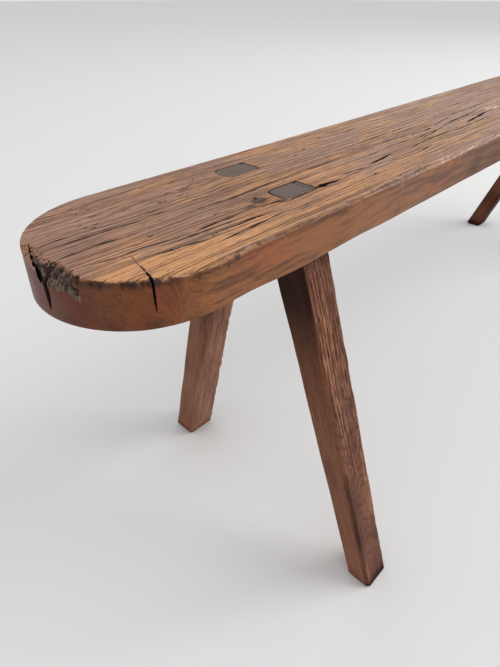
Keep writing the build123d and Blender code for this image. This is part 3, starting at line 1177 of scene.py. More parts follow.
def bare_oak(tree, start):
    """The oak's colour: light and dark streaks, the patina over them, whose lilac on the plank is partly a
    painted sheen, and dark pores.
    """
    wax, warmth = start["Wax"], start["Warmth"]
    light = tree.plus(start["Streak"], tree.times(start["Ring"], tree.ramp(wax, 0.0, 1.0, 0.07, 0.0)))
    light = tree.minus(tree.plus(light, tree.times(warmth, 0.18)), tree.times(wax, 0.10))
    half_waxed = tree.times(wax, tree.minus(1.0, wax))
    soft = tree.plus(tree.times(half_waxed, 0.80), tree.times(start["End"], 0.25))
    soft = tree.minus(soft, tree.times(wax, 0.05))
    light = tree.ramp(light, tree.minus(0.45, soft), tree.plus(0.75, soft))
    cool = tree.minus(start["Tone"], tree.times(warmth, 0.22))
    colour = tree.mix(light, start["Dark"], start["Light"])
    # The lilac patina on the plank is partly a painted sheen
    colour = tree.mix(tree.ramp(cool, 0.33, 0.47, 0.0, 0.75), colour, start["Patina"])
    return tree.mix(tree.times(start["Pore"], 0.50), colour, start["Furrow colour"])


def handled_and_highlighted_oak(tree, start, colour):
    """The colour where hands and wax have changed it: rubbed edges, which also carry a painted highlight,
    waxed sides and dark end grain.
    """
    rub = tree.times(start["Rub"], tree.ramp(start["Speckle"], 0.49, 0.57))
    colour = tree.mix(rub, colour, start["Rubbed and highlight colour"])
    olive = tree.plus(start["Tone"], tree.times(start["Warmth"], 0.12))
    browned = tree.mix(tree.ramp(olive, 0.44, 0.64), WAX_BROWN, WAX_OLIVE)
    colour = tree.tint(colour, tree.mix(start["Wax"], WHITE, browned))
    return tree.tint(colour, tree.mix(start["End"], WHITE, END_TINT))


def dirty_and_shaded_oak(tree, start, colour):
    """The colour with dirt in its specks, furrows and ripples, its shade, which holds painted shade and,
    below 0, a painted sheen and highlight, its stains and its rot.
    """
    dark = start["Furrow colour"]
    colour = tree.mix(tree.times(tree.ramp(start["Speckle"], 0.63, 0.71), 0.60), colour, dark)
    colour = tree.mix(tree.times(start["Furrow"], 0.88), colour, dark)
    colour = tree.mix(tree.times(start["Ripple"], 0.34), colour, dark)
    # Painted shade darkens toward the darkest tint, and below 0 a painted sheen and highlight pale toward
    # the palest
    colour = tree.tint(colour, tree.mix(tree.ramp(start["Shade"], 0.0, 1.0), WHITE, DARKEST))
    colour = tree.tint(colour, tree.mix(tree.ramp(start["Shade"], -1.0, 0.0, 1.0, 0.0), WHITE, PALEST))
    stain = start["Stain"]
    flecked = tree.plus(stain, tree.minus(start["Speckle"], 0.5))
    flecked = tree.times(tree.ramp(flecked, 0.30, 0.62), tree.ramp(stain, 0.0, 0.3, 0.0, 0.85))
    colour = tree.mix(flecked, colour, dark)
    rotten = tree.mix(tree.ramp(start["Strand"], 0.42, 0.62), dark, start["Rot colour"])
    spread = tree.plus(start["Rot"], tree.times(tree.minus(start["Strand"], 0.5), 1.3))
    return tree.mix(tree.ramp(spread, 0.30, 0.60), colour, rotten)


def age_group():
    """How age colours oak, together with painted light: the figure's tones, then dirt in the furrows,
    painted shade and sheen, stains, rubbed edges with a painted highlight, and rot.
    """
    inputs = {name: (COLOUR, None) for name in PLANK_COLOURS}
    inputs.update({name: (FLOAT, 0.0) for name in (*FIGURE, *WEAR_AND_HIGHLIGHT, *FINISH_AND_SHADE)})
    outputs = {"Colour": COLOUR, "Roughness": FLOAT}
    group, tree, start, end = new_group("oak_age", "ShaderNodeTree", inputs, outputs)
    colour = dirty_and_shaded_oak(tree, start, handled_and_highlighted_oak(tree, start, bare_oak(tree, start)))
    rough = tree.ramp(start["Tone"], 0.35, 0.65, 0.46, 0.36)
    rough = tree.plus(rough, tree.times(start["Furrow"], 0.30))
    rough = tree.plus(rough, tree.times(start["Rot"], 0.40))
    rough = tree.minus(rough, tree.times(start["Rub"], 0.10))
    rough = tree.plus(rough, tree.ramp(start["Shade"], 0.0, 1.0, 0.0, 0.25))
    tree.tree.links.new(colour, end["Colour"])
    tree.tree.links.new(rough, end["Roughness"])
    return group


def fibre_tree():
    """Geometry nodes that set torn fibres over a patch of broken wood: thin tapering cones that hang down
    from it, the longest cut short before they reach the end of the plank."""
    inputs = {
        "Geometry": (GEOMETRY, None),
        "Density": (FLOAT, 400000.0),
        "Shortest": (FLOAT, 0.001),
        "Longest": (FLOAT, 0.004),
        "Thickness": (FLOAT, 0.0004),
        "Least droop": (FLOAT, 0.1),
        "Most droop": (FLOAT, 0.5),
        "End": (FLOAT, 0.0),
        "Seed": (WHOLE_NUMBER, 0),
        "Material": (MATERIAL, None),
    }
    group, tree, start, end = new_group("fibres", "GeometryNodeTree", inputs, {"Geometry": GEOMETRY})
    seed, thickness = start["Seed"], start["Thickness"]
    patch = {"Mesh": start["Geometry"], "Density": start["Density"], "Seed": seed}
    spread = tree.add("GeometryNodeDistributePointsOnFaces", patch)
    place = tree.add("GeometryNodeInputPosition").outputs[0]
    room = tree.minus(tree.parts(place)[0], start["End"])
    length = tree.add("FunctionNodeRandomValue", {2: start["Shortest"], 3: start["Longest"], 8: seed})
    length = tree.math("MINIMUM", length.outputs[1], tree.times(room, 0.85))
    low = tree.vector(0.0, tree.minus(-math.pi / 2, start["Most droop"]), -FIBRE_SWAY)
    high = tree.vector(0.0, tree.minus(-math.pi / 2, start["Least droop"]), FIBRE_SWAY)
    turned = tree.add("FunctionNodeRandomValue", {0: low, 1: high, 8: seed}, data_type="FLOAT_VECTOR")
    fibre = {
        "Points": spread.outputs["Points"],
        "Instance": tree.add("GeometryNodeMeshCone", FIBRE_CONE).outputs["Mesh"],
        "Rotation": turned.outputs[0],
        "Scale": tree.vector(thickness, thickness, length),
    }
    fibres = tree.add("GeometryNodeInstanceOnPoints", fibre)
    tree.dress(fibres.outputs[0], start["Material"], end)
    return group


def oak(name, groups, colours, rings, bump_height, shine=PLANK_SHINE):
    """An oak finish. Its colours and its rings go by the names of the groups' inputs."""
    figure, age = groups
    material = bpy.data.materials.new(name)
    material.use_nodes = True
    material.node_tree.nodes.clear()
    tree = Tree(material.node_tree)
    wear_and_highlight = tree.shown("wear_and_highlight")
    marks = [*tree.add("ShaderNodeSeparateColor", {0: wear_and_highlight["Color"]}).outputs[:3], wear_and_highlight["Alpha"]]
    finish = tree.parts(tree.shown("finish")["Vector"])[:3]
    carried = {
        "Grain": tree.shown("grain")["Vector"],
        "Place": tree.add("ShaderNodeTexCoord").outputs["Object"],
        "Relief": tree.shown("relief")["Fac"],
        "Rippled": tree.shown("rippled")["Fac"],
        "Rub": marks[1],
    }
    lines = tree.add("ShaderNodeGroup", {**carried, **rings}, node_tree=figure).outputs
    drawn = {label: lines[label] for label in FIGURE}
    # The wear carries a painted highlight in its rub, and the finish carries painted shade and sheen in its
    # shade
    worn = dict(zip(WEAR_AND_HIGHLIGHT + FINISH_AND_SHADE, (*marks, *finish)))
    aged = tree.add("ShaderNodeGroup", {**drawn, **worn, **colours}, node_tree=age).outputs
    bump = tree.add("ShaderNodeBump", {"Height": lines["Height"], "Distance": bump_height})
    skin = {
        "Base Color": aged["Colour"],
        "Roughness": aged["Roughness"],
        "Specular IOR Level": shine,
        "Normal": bump.outputs[0],
    }
    surface = tree.add("ShaderNodeBsdfPrincipled", skin)
    tree.add("ShaderNodeOutputMaterial", {0: surface.outputs[0]})
    return material


# The plank


def break_at(across):
    """Where the crest of the broken edge is, and how far down it has broken, across the plank."""
    places, crests, drops = np.array(BREAK).T
    crest = np.interp(across, places, crests)
    drop = np.interp(across, places, drops)
    inside = smooth_step(across, *places[:2]) * fade_out(across, *places[-2:])
    return crest, drop, inside


def back_edge(along):
    """How far from the middle the back edge is, along the straight part of the plank."""
    table = np.array(SWELL)
    fine = np.linspace(-1, 1, SWELL_STEPS)
    swell = np.interp(fine, table[:, 0], table[:, 1])
    window = np.hanning(2 * SWELL_SOFTNESS + 1)
    soft = np.convolve(np.pad(swell, SWELL_SOFTNESS, "edge"), window / window.sum(), "valid")
    ends = 1 - (np.abs(fine) ** 16)
    return HALF_WIDTH + BACK_SWELL * np.interp(along / STRAIGHT, fine, np.minimum(soft, 1) * ends)


def end_turns(side, count):
    """Even steps round an end, or closer ones where the left end is broken."""
    turn = side * math.pi / 2 + np.linspace(0, math.pi, 4001)
    broken = (side > 0) & (np.abs(np.sin(turn)) * HALF_WIDTH < CROWDED)
    walked = np.cumsum(np.where(broken, LEFT_END_CROWDING, 1.0))
    return np.interp(np.linspace(walked[0], walked[-1], count + 2)[1:-1], walked, turn)


def stations(steps):
    """Places along a side of the plank, in steps that grow towards its right end."""
    places, start = [], END_DEPTH
    for stop, step in steps:
        stop = min(stop, STRAIGHT - TIP)
        places.append(np.linspace(start, stop, round((stop - start) / step), endpoint=False))
        start = stop
    return TIP + np.append(np.concatenate(places), start)


def plank_columns():
    """For each column round the plank: its point on the middle line, on the outline, and the way in."""
    front, back = stations(FRONT_STEPS), stations(BACK_STEPS)[::-1]
    middles, edges = [], []
    for side, along in ((-1, front), (1, back)):
        out = -np.full(len(along), HALF_WIDTH) if side < 0 else back_edge(along)
        middles.append(np.column_stack([along, 0 * along]))
        edges.append(np.column_stack([along, out]))
        turn = end_turns(side, RIGHT_END_COLUMNS if side < 0 else LEFT_END_COLUMNS)
        end = -side
        middles.append(np.tile([end * STRAIGHT, 0.0], (len(turn), 1)))
        edges.append(np.column_stack([end * STRAIGHT + END_DEPTH * np.cos(turn), HALF_WIDTH * np.sin(turn)]))
    middle, edge = np.concatenate(middles), np.concatenate(edges)
    reach = edge - middle
    straight = np.abs(reach[:, 0]) < 1e-9
    depth = np.where(straight, 1e9, END_DEPTH)
    inward = -np.column_stack([reach[:, 0] / depth**2, reach[:, 1] / HALF_WIDTH**2])
    inward /= np.linalg.norm(inward, axis=1)[:, None]
    return middle, edge, inward


def arris_wear(edge):
    """How far the top arris is rounded at each column: more at the front than the back, and most at a
    bruise."""
    from_tip = edge[:, 0] - TIP
    front = smooth_step(-edge[:, 1], *FRONT_EDGE)
    front_arris = FRONT_ARRIS * (1 + 1.2 * smooth_step(from_tip, *ARRIS_GROWS))
    worn = (BACK_ARRIS + (front_arris - BACK_ARRIS) * front) * (1 + 0.36 * drifting(edge, *ARRIS_DRIFT))
    worn += DENT_DEPTH * (0.15 + front) * np.abs(drifting(edge, *DENTS))
    for place, length, depth in BRUISES:
        worn += front * (depth * hump(from_tip, place, length))
    chewed = (0.90 + 0.10 * fade_out(from_tip, *CHEWED_TO)) * smooth_step(from_tip, *CHEWED_FROM) * front
    chips = np.clip(np.abs(drifting(edge, *CHIPS)) - 0.12, 0, None)
    return worn + chewed * (CHIP_DEPTH * chips + SPLINTER_DEPTH * np.abs(drifting(edge, *SPLINTERS)))


def lower_lift(edge):
    """How far up the lower front edge has worn away at each column."""
    table = np.array(LOWER_WEAR)
    lift = np.interp(edge[:, 0] - TIP, table[:, 0], table[:, 1])
    return np.clip(lift, 0, None) * smooth_step(-edge[:, 1], *FRONT_EDGE)


def broken_face(edge):
    """For each column: how far in and how far down the top edge is broken, and how much it is broken."""
    crest, drop, inside = break_at(edge[:, 1])
    inside = np.where(edge[:, 0] < TIP + END_DEPTH / 2, inside, 0)
    jagged = drifting(edge, *CREST_TEETH) + 0.6 * drifting(edge, *CREST_SPLINTERS)
    inset = np.where(inside > 0, crest - (edge[:, 0] - TIP) + CREST_RAGGED * jagged * inside, 0)
    fall = (drop + FOOT_RAGGED * drifting(edge, *FOOT_TEETH)) * inside
    return inset * inside, fall, inside


def fractured(edge, share, pitch, seed):
    """Noise over the broken face, drawn out up and down it."""
    places = [Vector((y / pitch, share * BREAK_HEIGHT / pitch, x * 0.4 / pitch + seed)) for x, y in edge]
    return np.array([noise.noise(place) for place in places])


def pitted(edge, share, inside):
    """How deep the broken face is pitted at a share of the way down it, where the edge is broken."""
    coarse, fine = fractured(edge, share, *PITS), fractured(edge, share, *FINE_PITS)
    depth = PIT_DEPTH * np.clip(0.25 + 1.3 * coarse + 0.45 * fine, 0, 1)
    return inside * math.sin(math.pi * share) ** 0.6 * depth


def tip_wear(edge):
    """How far the top of the left end has worn back at each column. Its foot hasn't."""
    here = edge[:, 0] < TIP + END_DEPTH
    return TIP_WEAR * hump(edge[:, 1], TIP_WEAR_MIDDLE, TIP_WEAR_WIDTH) * here


def top_rows(middle, edge, inward, set_in):
    """Rows over the flat top, from the middle line out to where the edge begins to fall."""
    zone = edge + inward * EDGE_ZONE
    rows = []
    for share in np.linspace(0.5 / TOP_ROWS, 1, TOP_ROWS, endpoint=False):
        rows.append(flat_row(middle + share * (zone - middle), TOP))
    for share in np.linspace(0, 1, FLAT_ROWS, endpoint=False):
        inset = EDGE_ZONE + share * (set_in - EDGE_ZONE)
        rows.append(flat_row(edge + inward * inset[:, None], TOP))
    return rows


def arris_rows(edge, inward, set_in, fall, inside):
    """Rows round the top arris, or straight down the pitted face where it is broken."""
    rows = []
    for step in range(ARRIS_ROWS + 1):
        share = step / ARRIS_ROWS
        turn = share * math.pi / 2
        round_in, round_down = 1 - math.sin(turn), 1 - math.cos(turn)
        inset = set_in * (round_in + inside * (1 - share - round_in))
        down = fall * (round_down + inside * (share - round_down))
        inset = inset + pitted(edge, share, inside)
        rows.append(flat_row(edge + inward * inset[:, None], TOP - down))
    return rows


def side_rows(edge, foot, inward, high, lift, lower):
    """Rows down the side, and round the lower arris."""
    rows = []
    for share in np.linspace(0, 1, SIDE_ROWS, endpoint=False)[1:]:
        height = high + share * (UNDERSIDE + lift + lower - high)
        rows.append(flat_row(edge + share * (foot - edge), height))
    for step in range(LOWER_ARRIS_ROWS + 1):
        turn = step / LOWER_ARRIS_ROWS * math.pi / 2
        inset = lower * (1 - math.cos(turn))
        low = UNDERSIDE + lift + lower * (1 - math.sin(turn))
        rows.append(flat_row(foot + inward * inset[:, None], low))
    return rows


def under_rows(middle, rim, lift):
    """Rows from the rim of the underside in to its middle line."""
    rows = []
    for share in UNDER_SHARES:
        fade = 1 - smooth_step((1 - share) * HALF_WIDTH, 0, LOWER_WEAR_REACH)
        rows.append(flat_row(middle + share * (rim - middle), UNDERSIDE + lift * fade))
    return rows


def plank_rows():
    """The rows of the plank's mesh, from the middle of its top, over the edge, to the middle below."""
    middle, edge, inward = plank_columns()
    wave = np.clip(drifting(edge, *EDGE_DRIFT) + 0.5 * drifting(edge, *EDGE_RIPPLE), 0, None)
    foot = edge + inward * (EDGE_WAVE * wave)[:, None]
    edge = foot + inward * tip_wear(foot)[:, None]
    worn = arris_wear(edge)
    set_in, fall, inside = broken_face(edge)
    set_in, fall = np.maximum(worn, set_in), np.maximum(worn, fall)
    lift = lower_lift(edge)
    lower = LOWER_ARRIS * (1.15 + 0.6 * drifting(edge, *LOWER_DRIFT))
    rows = top_rows(middle, edge, inward, set_in)
    rows += arris_rows(edge, inward, set_in, fall, inside)
    rows += side_rows(edge, foot, inward, TOP - fall, lift, lower)
    rows += under_rows(middle, foot + inward * lower[:, None], lift)
    return rows


def curly_at(points):
    """How curly the grain is: 1 at the back of the left end, and 0 at the front and the right."""
    return smooth_step(points[:, 1], *CURLY_ACROSS) * fade_out(points[:, 0] - TIP, *CURLY_UP_TO)


def plank_grain(points):
    """The grain at each point: along it, out from the tree's heart, and round it. It flows round the knots,
    and is curly towards the back of the left end."""
    along, across = points[:, 0], points[:, 1].copy()
    for from_tip, from_middle, reach, stretch in KNOTS:
        away = ((along - TIP - from_tip) / stretch) ** 2 + (across - from_middle) ** 2
        across = from_middle + (across - from_middle) * away / (away + reach**2)
    across += GRAIN_SWAY * drifting(drawn_out(points, 2.5), *GRAIN_DRIFT)
    across += CURL_SWAY * curly_at(points) * drifting(drawn_out(points, 2.2), *CURLS)
    across -= PLANK_HEART[0]
    rise = points[:, 2] - (TOP - PLANK_HEART[1])
    end = fade_out(along - TIP, *END_GRAIN) + fade_out(HALF_LENGTH - along, *END_GRAIN)
    turned = 0.1 * np.arctan2(across, rise) + 1.2 * end * (TOP - points[:, 2])
    return np.column_stack([along, np.hypot(across, rise), turned])


def blotches(points, places):
    """Soft patches: from the tip, from the middle, half the length, half the width and how strong."""
    total = np.zeros(len(points))
    for from_tip, from_middle, length, width, strength in places:
        along, across = (points[:, 0] - TIP - from_tip) / length, (points[:, 1] - from_middle) / width
        total = np.maximum(total, strength * np.exp(-(along**2 + across**2)))
    return total


def side_patches(points, places):
    """Patches on the plank's sides, from one of the tables above."""
    total = np.zeros(len(points))
    for from_tip, from_middle, down, reach, strength in places:
        away = np.linalg.norm(points - (TIP + from_tip, from_middle, TOP - down), axis=1) / reach
        total = np.maximum(total, strength * np.exp(-(away**2)))
    return total


def smudges(points, normals):
    """The dark smudges below the front arris, at each point."""
    total = np.zeros(len(points))
    from_tip, down = points[:, 0] - TIP, TOP - points[:, 2]
    for place, half, reach, strength in SMUDGES:
        beside = hump(from_tip, place, half) * fade_out(down, 0.35 * reach, reach)
        total = np.maximum(total, strength * beside)
    in_front = smooth_step(-points[:, 1], *SMUDGED_FRONT)
    return total * in_front * (1 - smooth_step(normals[:, 2], *SMUDGED_FACES))


def frayed(points):
    """How much the top is frayed beside its front arris, in short tufts across the grain."""
    from_edge = points[:, 1] + HALF_WIDTH + FRAYED_RAGGED * drifting(points, *FRAYED_DRIFT)
    tufts = np.clip(0.60 + 1.5 * drifting(drawn_out(points, 0.4), *TUFTS), 0, 1)
    from_tip = points[:, 0] - TIP
    here = smooth_step(from_tip, *FRAYED_FROM) * (1 - 0.6 * smooth_step(from_tip, *FRAYED_LESS_FROM))
    return here * tufts * (1 - smooth_step(from_edge, *FRAYED_REACH)) * (points[:, 1] < 0)


class PlankSurface:
    """What the finish of the plank depends on, at each point of its mesh."""

    def __init__(self, mesh):
        self.points = points_of(mesh)
        normals = normals_of(mesh)
        self.up = normals[:, 2]
        self.level = np.abs(normals[:, 0])
        self.from_tip = self.points[:, 0] - TIP
        self.across = self.points[:, 1]
        self.down = TOP - self.points[:, 2]
        self.on_top = smooth_step(self.up, *TURNS_TO_TOP)
        self.near_top = fade_out(self.down, *ARRIS_REACH)
        self.in_front = smooth_step(-self.across, *FRONT_HALF)
        self.smudge = smudges(self.points, normals)


def plank_relief(plank):
    """How open the furrows are: most on the top, less below, and hardly on the sides."""
    top, below = 0.93 * smooth_step(plank.up, *FACES_UP), 0.5 * smooth_step(-plank.up, *FACES_UP)
    relief = 0.07 + np.where(plank.up > 0, top, below)
    return relief * (1 - 0.8 * smooth_step(plank.level, *END_RELIEF))


def plank_rub_and_highlight(plank):
    """Where the top arris is rubbed pale, with the tufts beside it: worn wood, and a painted highlight along
    the rounded edge.
    """
    # The pale rub is worn wood and a painted highlight, strongest halfway round the rounded arris
    rub = plank.near_top * np.clip(3.4 * plank.up * plank.up * (1 - plank.up * plank.up), 0, 1)
    rub = rub * (plank.up > 0.1) * plank.in_front * (0.60 + 0.40 * smooth_step(plank.from_tip, *RUB_AND_HIGHLIGHT_FROM))
    patches = 0.50 + 1.2 * drifting(plank.points, *RUB_AND_HIGHLIGHT_PATCHES) + 1.1 * drifting(plank.points, *RUB_AND_HIGHLIGHT_SPECKS)
    rub = rub * np.clip(patches, 0.0, 1)
    return np.maximum(rub, frayed(plank.points) * smooth_step(plank.up, *FRAYED_FACES))


def plank_torn(plank):
    """Where the left end is torn, but for the sliver beyond the edge split."""
    crest, drop, inside = break_at(plank.across)
    torn = smooth_step(crest + TORN_BEHIND - plank.from_tip, 0, TORN_FADE) * inside
    torn = torn * fade_out(plank.down, drop - TORN_ABOVE, drop + TORN_BELOW)
    slant = np.interp(-plank.across, TORN_SLANT_ACROSS, TORN_SLANT_DOWN)
    ragged = plank.down + TORN_SLANT_RAGGED * drifting(plank.points, *TORN_EDGE)
    torn = torn * smooth_step(ragged, slant, slant + TORN_SLANT_FADE)
    split_from_tip, split_across = np.array(EDGE_SPLIT[::-1])[:, :2].T
    beyond_split = np.interp(plank.across, split_across, split_from_tip) - plank.from_tip
    sliver = smooth_step(plank.across, *SLIVER_ACROSS) * smooth_step(beyond_split, *SLIVER_FADE)
    return torn * (1 - sliver)


def plank_stains(plank):
    """The dark stains of the top and the sides, and a part of the smudges."""
    stain = blotches(plank.points, TOP_STAINS) * plank.on_top
    stain = np.maximum(stain, side_patches(plank.points, SIDE_STAINS))
    return np.maximum(stain, 0.6 * plank.smudge)


def plank_shade(plank):
    """How much darker than the oak itself each point is, or paler where it is below 0. Beside dark patches,
    smudges and the knot, it holds painted shade on the front arris and the far sides, a painted sheen on the
    far top, and a painted highlight on the far arris.
    """
    from_tip, on_top = plank.from_tip, plank.on_top
    # The far part of the sides is darkened: painted shade that tones down the sheen seen there
    sides = side_patches(plank.points, SIDE_SHADES) + 0.42 * smooth_step(from_tip, *FAR_SIDE_SHADE)
    shade = sides * (1 - on_top)
    shade = np.where(plank.smudge > 0.02, np.maximum(shade, plank.smudge), shade)
    shade = shade + 0.29 * on_top * hump(from_tip, *AROUND_TENONS)
    # A painted sheen: the top grows paler far from the tip, and a little less pale again towards the right
    # end
    shade = shade - 0.32 * on_top * smooth_step(from_tip, *SHEEN_TOP_FROM)
    shade = shade + 0.14 * on_top * smooth_step(from_tip, *SHEEN_EASED_FROM)
    # The front arris: darker towards the tip, partly dirt and partly painted shade of its rounded edge, and
    # paler further on, a painted highlight
    arris = plank.near_top * fade_out(plank.up, *ARRIS_FACES) * plank.in_front
    shade = shade + arris * (0.42 - 0.66 * smooth_step(from_tip, *ARRIS_HIGHLIGHT_FROM))
    from_knot = np.hypot((from_tip - KNOT_HEART[0]) / KNOT_STRETCH, plank.across - KNOT_HEART[1])
    shade = shade + 0.9 * on_top * hump(from_knot, 0, KNOT_EYE)
    shade = shade - 0.7 * on_top * hump(from_knot, *KNOT_RING)
    return shade + 0.08 * on_top * drifting(drawn_out(plank.points, 2.5), *SHADE_DRIFT)


def plank_warmth(plank):
    """How warm the colour is: warmest along the front, cool at the tip."""
    from_tip = plank.from_tip
    front = smooth_step(-plank.across, *WARM_FRONT)
    front = front * (1 - 0.90 * plank.on_top * smooth_step(from_tip, *WARM_FRONT_UP_TO))
    length, width = COOL_TIP
    tip = fade_out(np.hypot(from_tip / length, (plank.across - COOL_TIP_MIDDLE) / width), 0.3, 1)
    warmth = 0.20 + 0.9 * front - 0.2 * curly_at(plank.points) - 0.6 * tip
    warmth = warmth + 0.3 * (1 - smooth_step(from_tip, *WARM_UP_TO))
    return warmth + 0.25 * drifting(drawn_out(plank.points, 2), *WARMTH_DRIFT)


def mark_plank(mesh):
    """Stores on each point of the plank its grain, how open its furrows are and how it has worn, with a
    painted highlight in the rub and painted shade and sheen in the shade.
    """
    plank = PlankSurface(mesh)
    relief = plank_relief(plank)
    carve = relief * (1 - 0.9 * smooth_step(plank.from_tip, *SMOOTH_FROM))
    end = smooth_step(plank.level, *END_FACES) * (1 - smooth_step(plank.up, *END_TO_TOP))
    wear_and_highlight = np.column_stack([plank_stains(plank), plank_rub_and_highlight(plank), plank_torn(plank), end])
    finish = np.column_stack([plank_warmth(plank), 1 - plank.on_top, plank_shade(plank)])
    store(mesh, "grain", "FLOAT_VECTOR", plank_grain(plank.points))
    store(mesh, "relief", "FLOAT", relief)
    store(mesh, "carve", "FLOAT", carve)
    store(mesh, "wear_and_highlight", "FLOAT_COLOR", wear_and_highlight)
    store(mesh, "finish", "FLOAT_VECTOR", finish)


def split_rows(start, end, width, depth, widest):
    """A pointed split along the grain, as a cutting shape: V-shaped, and ragged along its sides."""
    bend = math.log(0.5) / math.log(widest)
    lip, high = TOP - SPLIT_LIP, TOP + SPLIT_ABOVE
    rows = []
    for step in range(SPLIT_STEPS + 1):
        share = step / SPLIT_STEPS
        x = TIP + start[0] + share * (end[0] - start[0])
        y = start[1] + share * (end[1] - start[1])
        open_here = max(math.sin(math.pi * share**bend), 0.03)
        ragged = 1 + 0.45 * noise.noise(Vector((x / SPLIT_RAGGED_OVER, y / SPLIT_RAGGED_OVER, 1.5)))
        half = width / 2 * open_here * ragged
        y += 0.25 * width * noise.noise(Vector((x / SPLIT_WANDERS_OVER, y / SPLIT_WANDERS_OVER, 4.5)))
        low = TOP - depth * math.sqrt(open_here)
        upper = [(x, y - half, high), (x, y + half, high), (x, y + half, lip)]
        lower = [(x, y + 0.25 * half, low), (x, y - 0.25 * half, low), (x, y - half, lip)]
        rows.append(np.array(upper + lower))
    return rows


def crack_rows(places):
    """A crack that runs across the plank from its top, as a cutting shape with ragged sides."""
    rows = []
    for number in np.linspace(0, len(places) - 1, 5 * len(places) - 4):
        from_tip, y, half, depth = [np.interp(number, range(len(places)), column) for column in zip(*places)]
        half *= 1 + 0.9 * noise.noise(Vector((number * 1.7, len(places), 1.5)))
        x = TIP + from_tip + 0.7 * half * noise.noise(Vector((number * 2.3, 4.5, 7.5)))
        high, low, lowest = TOP + SPLIT_ABOVE, TOP - 0.65 * depth, TOP - depth
        right = [(x + half, y, high), (x + 0.75 * half, y, low), (x + 0.10 * half, y, lowest)]
        left = [(x - 0.10 * half, y, lowest), (x - 0.75 * half, y, low)]
        rows.append(np.array([(x - half, y, high), *right, *left]))
    return rows


def end_check_rows():
    """The drying check, as a cutting shape that points into the end of the plank."""
    outside = TIP - CUT_BEYOND
    rows = []
    for down, across, half, depth in END_CHECK:
        z = TOP - down
        outer = [(outside, across - half, z), (outside, across + half, z)]
        inner = [(TIP + depth, across + 0.2 * half, z), (TIP + depth, across - 0.2 * half, z)]
        rows.append(np.array(outer + inner))
    return rows


def furrow_rows(line, seed, width=LONG_FURROW_WIDTH, step=FURROW_STEP):
    """A furrow, as a cutting shape: V-shaped, pointed at both ends, and never quite straight."""
    line = np.array(line)
    walked = np.append(0, np.cumsum(np.linalg.norm(np.diff(line, axis=0), axis=1)))
    steps = max(8, round(walked[-1] / step))
    high = TOP + FURROW_ABOVE
    rows = []
    for number in range(steps + 1):
        along = walked[-1] * number / steps
        x, y = TIP + np.interp(along, walked, line[:, 0]), np.interp(along, walked, line[:, 1])
        y += FURROW_WAVER * noise.noise(Vector((x / FURROW_WAVER_LENGTH, seed, 2.5)))
        worn = 0.65 + 0.6 * noise.noise(Vector((x / FURROW_OPENS_OVER, seed, 6.5)))
        open_here = max(0.06, min(1, 5 * number / steps, 5 * (1 - number / steps)) * worn)
        half = width / 2 * open_here * FURROW_FLARE
        low = TOP - LONG_FURROW_DEPTH * (0.35 + open_here)
        rows.append(np.array([(x, y - half, high), (x, y + half, high), (x, y, low)]))
    return rows


def nick_rows(from_tip, half, depth, down):
    """A nick in the front arris, as a cutting shape: a leaning wedge that points into the plank."""
    turned = max(0, 1 - from_tip / END_DEPTH)
    edge = np.array([TIP + from_tip, -HALF_WIDTH * math.sqrt(1 - turned**2)])
    out = np.array([-turned / END_DEPTH, edge[1] / HALF_WIDTH**2])
    out /= np.linalg.norm(out)
    side = np.array([-out[1], out[0]])
    lean = side * down * noise.noise(Vector((from_tip / NICK_LEANS_OVER, 3.5, 1.5)))
    rows = []
    for height, share in ((TOP + FURROW_ABOVE, 1.3), (TOP - 0.4 * down, 0.8), (TOP - down, 0.15)):
        start = edge + lean * (1 - share)
        wide = side * half * share * (1 + NICK_OUT / depth)
        outer = start + out * NICK_OUT
        rows.append(flat_row(np.array([outer - wide, outer + wide, start - out * depth * share]), height))
    return rows


def fleck_line(from_tip, across, length, bend):
    """The points that a short curved furrow runs through."""
    turns = np.linspace(-1, 1, 7)
    sideways = across + bend * (turns**2 - 0.5) + 0.05 * length * turns
    return np.column_stack([from_tip + turns * length / 2, sideways])


def hole_rows(from_tip, across, radius, depth):
    """A round hole in the top, as a cutting shape that narrows downwards."""
    turns = np.linspace(0, 2 * math.pi, 9)[:-1]
    circle = np.column_stack([np.cos(turns), np.sin(turns)])
    centre = np.array([TIP + from_tip, across])
    rows = []
    for height, size in ((TOP + FURROW_ABOVE, 1.15), (TOP - HOLE_LIP, 1.0), (TOP - depth, 0.7)):
        rows.append(flat_row(centre + radius * size * circle, height))
    return rows


def level_of(node, height):
    """Middle and half size, in X and Y, of a CAD piece at one height."""
    points = points_of(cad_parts[node].data)
    level = points[np.abs(points[:, 2] - height) < SAME_HEIGHT][:, :2]
    low, high = level.min(0), level.max(0)
    return (low + high) / 2, (high - low) / 2


def between(levels, height):
    """Middle and half size at any height, on the straight line through two levels."""
    (low_height, low_middle, low_half), (high_height, high_middle, high_half) = levels
    share = (height - low_height) / (high_height - low_height)
    return low_middle + share * (high_middle - low_middle), low_half + share * (high_half - low_half)


def leg_body(node):
    """The two levels that a leg's long body lies between: its foot and its shoulder."""
    return [(z, *level_of(node, z)) for z in (FOOT_BEVEL, UNDERSIDE)]


def tenon_top(node):
    """The height of the top of a leg's tenon."""
    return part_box(node)[1].z


def wedge_levels(node):
    """The bottom and the top of a wedge."""
    low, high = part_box(node)
    return [(z, *level_of(node, z)) for z in (low.z, high.z)]


def wedge_side(leg):
    """1 where the wedge is at the +X side of the leg's tenon, or else -1."""
    wedge = wedge_levels(leg.replace("leg_", "wedge_"))
    return 1 if wedge[1][1][0] > level_of(leg, tenon_top(leg))[0][0] else -1


